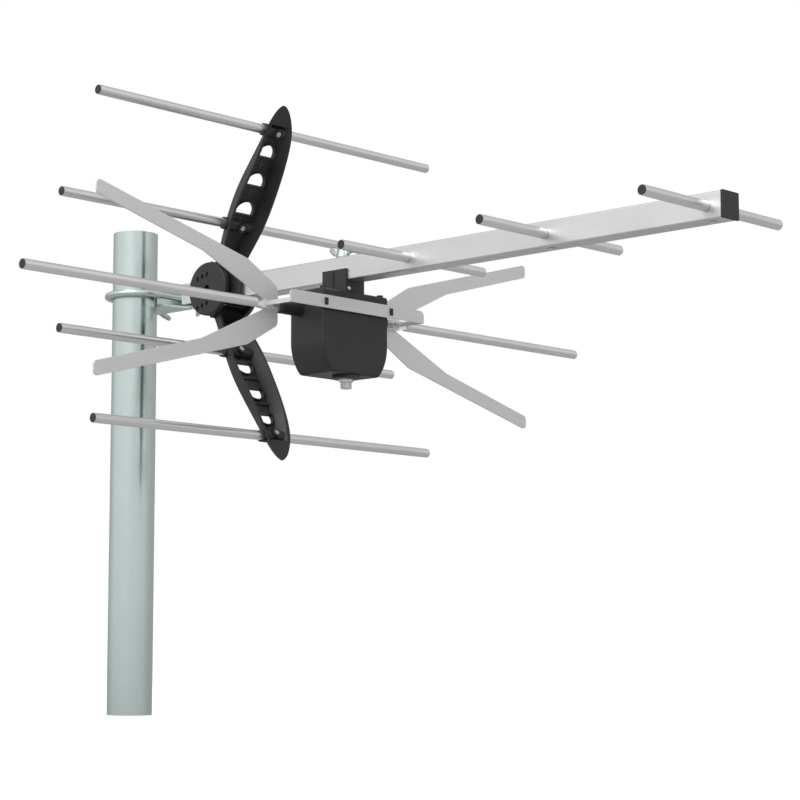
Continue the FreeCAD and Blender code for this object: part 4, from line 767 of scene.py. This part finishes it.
# Brightness of the walls round the object by direction, in degrees from +X: a dark flag stands behind
# the object.
WALLS = [(-180, 0.5), (-160, 0.75), (-133, 0.92), (-60, 0.96), (-20, 0.92), (20, 0.84), (48, 0.66),
         (75, 0.52), (105, 0.5), (122, 0.3), (144, 0.3), (178, 0.55)]
FULL_TURN = 360
WALL_TOP = 0.1
CEILING_START = 0.8
CEILING = 1.05

FLOOR_SIDE = 24.0
FLOOR_LEVEL = -0.6 * MM
FLOOR_TONE = 0.86
FLOOR_GLOW = 0.55
FLOOR_ROUGHNESS = 0.9
FLOOR_TONE_IN_MIRROR = 0.46
FARTHEST = 60


def add_lamp(name, lamp):
    data = bpy.data.lights.new(name, "AREA")
    data.shape = "RECTANGLE"
    data.size, data.size_y = lamp.size
    data.energy = lamp.power
    made = bpy.data.objects.new(name, data)
    made.location = lamp.place
    made.rotation_euler = (LIT_MIDDLE - Vector(lamp.place)).to_track_quat("-Z", "Y").to_euler()
    bpy.context.scene.collection.objects.link(made)
    return made


def studio_lights():
    """The fill lights the plastic and doesn't show as a streak in the mast."""
    add_lamp("key_light", KEY_LIGHT)
    add_lamp("front_fill", FRONT_FILL).visible_glossy = False


def wall_tones(tree, direction):
    """Colour of the walls by direction round the object."""
    turn = node(tree, "ShaderNodeMath", operation="ARCTAN2")
    link(tree, direction.outputs["Y"], turn.inputs[0])
    link(tree, direction.outputs["X"], turn.inputs[1])
    round_the_room = node(tree, "ShaderNodeValToRGB")
    link(tree, ramp(tree, turn.outputs["Value"], -math.pi, math.pi, 0.0, 1.0), round_the_room.inputs["Fac"])
    tones = round_the_room.color_ramp
    tones.interpolation = "EASE"
    while len(tones.elements) > 1:
        tones.elements.remove(tones.elements[-1])
    first, *others = WALLS
    tones.elements[0].position = 0.5 + first[0] / FULL_TURN
    tones.elements[0].color = grey(first[1])
    for degrees, tone in others:
        tones.elements.new(0.5 + degrees / FULL_TURN).color = grey(tone)
    return round_the_room.outputs["Color"]


def studio_world():
    """Walls and ceiling that light the object and show in it; the camera sees plain white."""
    world = bpy.data.worlds.new("studio")
    bpy.context.scene.world = world
    world.use_nodes = True
    tree = world.node_tree
    tree.nodes.clear()
    place = node(tree, "ShaderNodeTexCoord")
    direction = node(tree, "ShaderNodeSeparateXYZ")
    link(tree, place.outputs["Generated"], direction.inputs["Vector"])
    lit = node(tree, "ShaderNodeBackground")
    link(tree, wall_tones(tree, direction), lit.inputs["Color"])
    brightness = ramp(tree, direction.outputs["Z"], WALL_TOP, CEILING_START, 1.0, CEILING)
    link(tree, brightness, lit.inputs["Strength"])
    seen = node(tree, "ShaderNodeBackground")
    seen.inputs["Color"].default_value = grey(1.0)
    seen.inputs["Strength"].default_value = 1.0
    rays = node(tree, "ShaderNodeLightPath")
    mix = node(tree, "ShaderNodeMixShader")
    link(tree, rays.outputs["Is Camera Ray"], mix.inputs["Fac"])
    link(tree, lit.outputs["Background"], mix.inputs[1])
    link(tree, seen.outputs["Background"], mix.inputs[2])
    output = node(tree, "ShaderNodeOutputWorld")
    link(tree, mix.outputs["Shader"], output.inputs["Surface"])


def studio_floor():
    """Pale floor that glows for the camera and is darker in the object's reflections."""
    clear_selection()
    bpy.ops.mesh.primitive_plane_add(size=FLOOR_SIDE, location=(0.0, 0.0, FLOOR_LEVEL))
    floor = bpy.context.object
    floor.name = "studio_floor"
    material = bpy.data.materials.new("studio_floor")
    material.use_nodes = True
    tree = material.node_tree
    surface = tree.nodes["Principled BSDF"]
    surface.inputs["Base Color"].default_value = grey(FLOOR_TONE)
    surface.inputs["Roughness"].default_value = FLOOR_ROUGHNESS
    surface.inputs["Emission Color"].default_value = grey(1.0)
    surface.inputs["Emission Strength"].default_value = FLOOR_GLOW
    mirrored = node(tree, "ShaderNodeBsdfDiffuse")
    mirrored.inputs["Color"].default_value = grey(FLOOR_TONE_IN_MIRROR)
    rays = node(tree, "ShaderNodeLightPath")
    mix = node(tree, "ShaderNodeMixShader")
    link(tree, rays.outputs["Is Camera Ray"], mix.inputs["Fac"])
    link(tree, mirrored.outputs["BSDF"], mix.inputs[1])
    link(tree, surface.outputs["BSDF"], mix.inputs[2])
    link(tree, mix.outputs["Shader"], tree.nodes["Material Output"].inputs["Surface"])
    floor.data.materials.append(material)
    place_in_mesh(floor)


def photo_camera():
    data = bpy.data.cameras.new("photo_camera")
    data.lens = FOCAL_LENGTH
    data.sensor_fit = "HORIZONTAL"
    data.sensor_width = FILM_WIDTH
    data.clip_end = FARTHEST
    camera = bpy.data.objects.new("photo_camera", data)
    camera.location = CAMERA_PLACE
    turn = Vector(CAMERA_AIM).to_track_quat("-Z", "Y").to_matrix()
    camera.rotation_euler = (turn @ Matrix.Rotation(CAMERA_ROLL, 3, "Z")).to_euler()
    bpy.context.scene.collection.objects.link(camera)
    bpy.context.scene.camera = camera


studio_world()
studio_lights()
studio_floor()
photo_camera()
bpy.context.scene.view_settings.view_transform = "Standard"
bpy.context.scene.view_settings.look = "None"
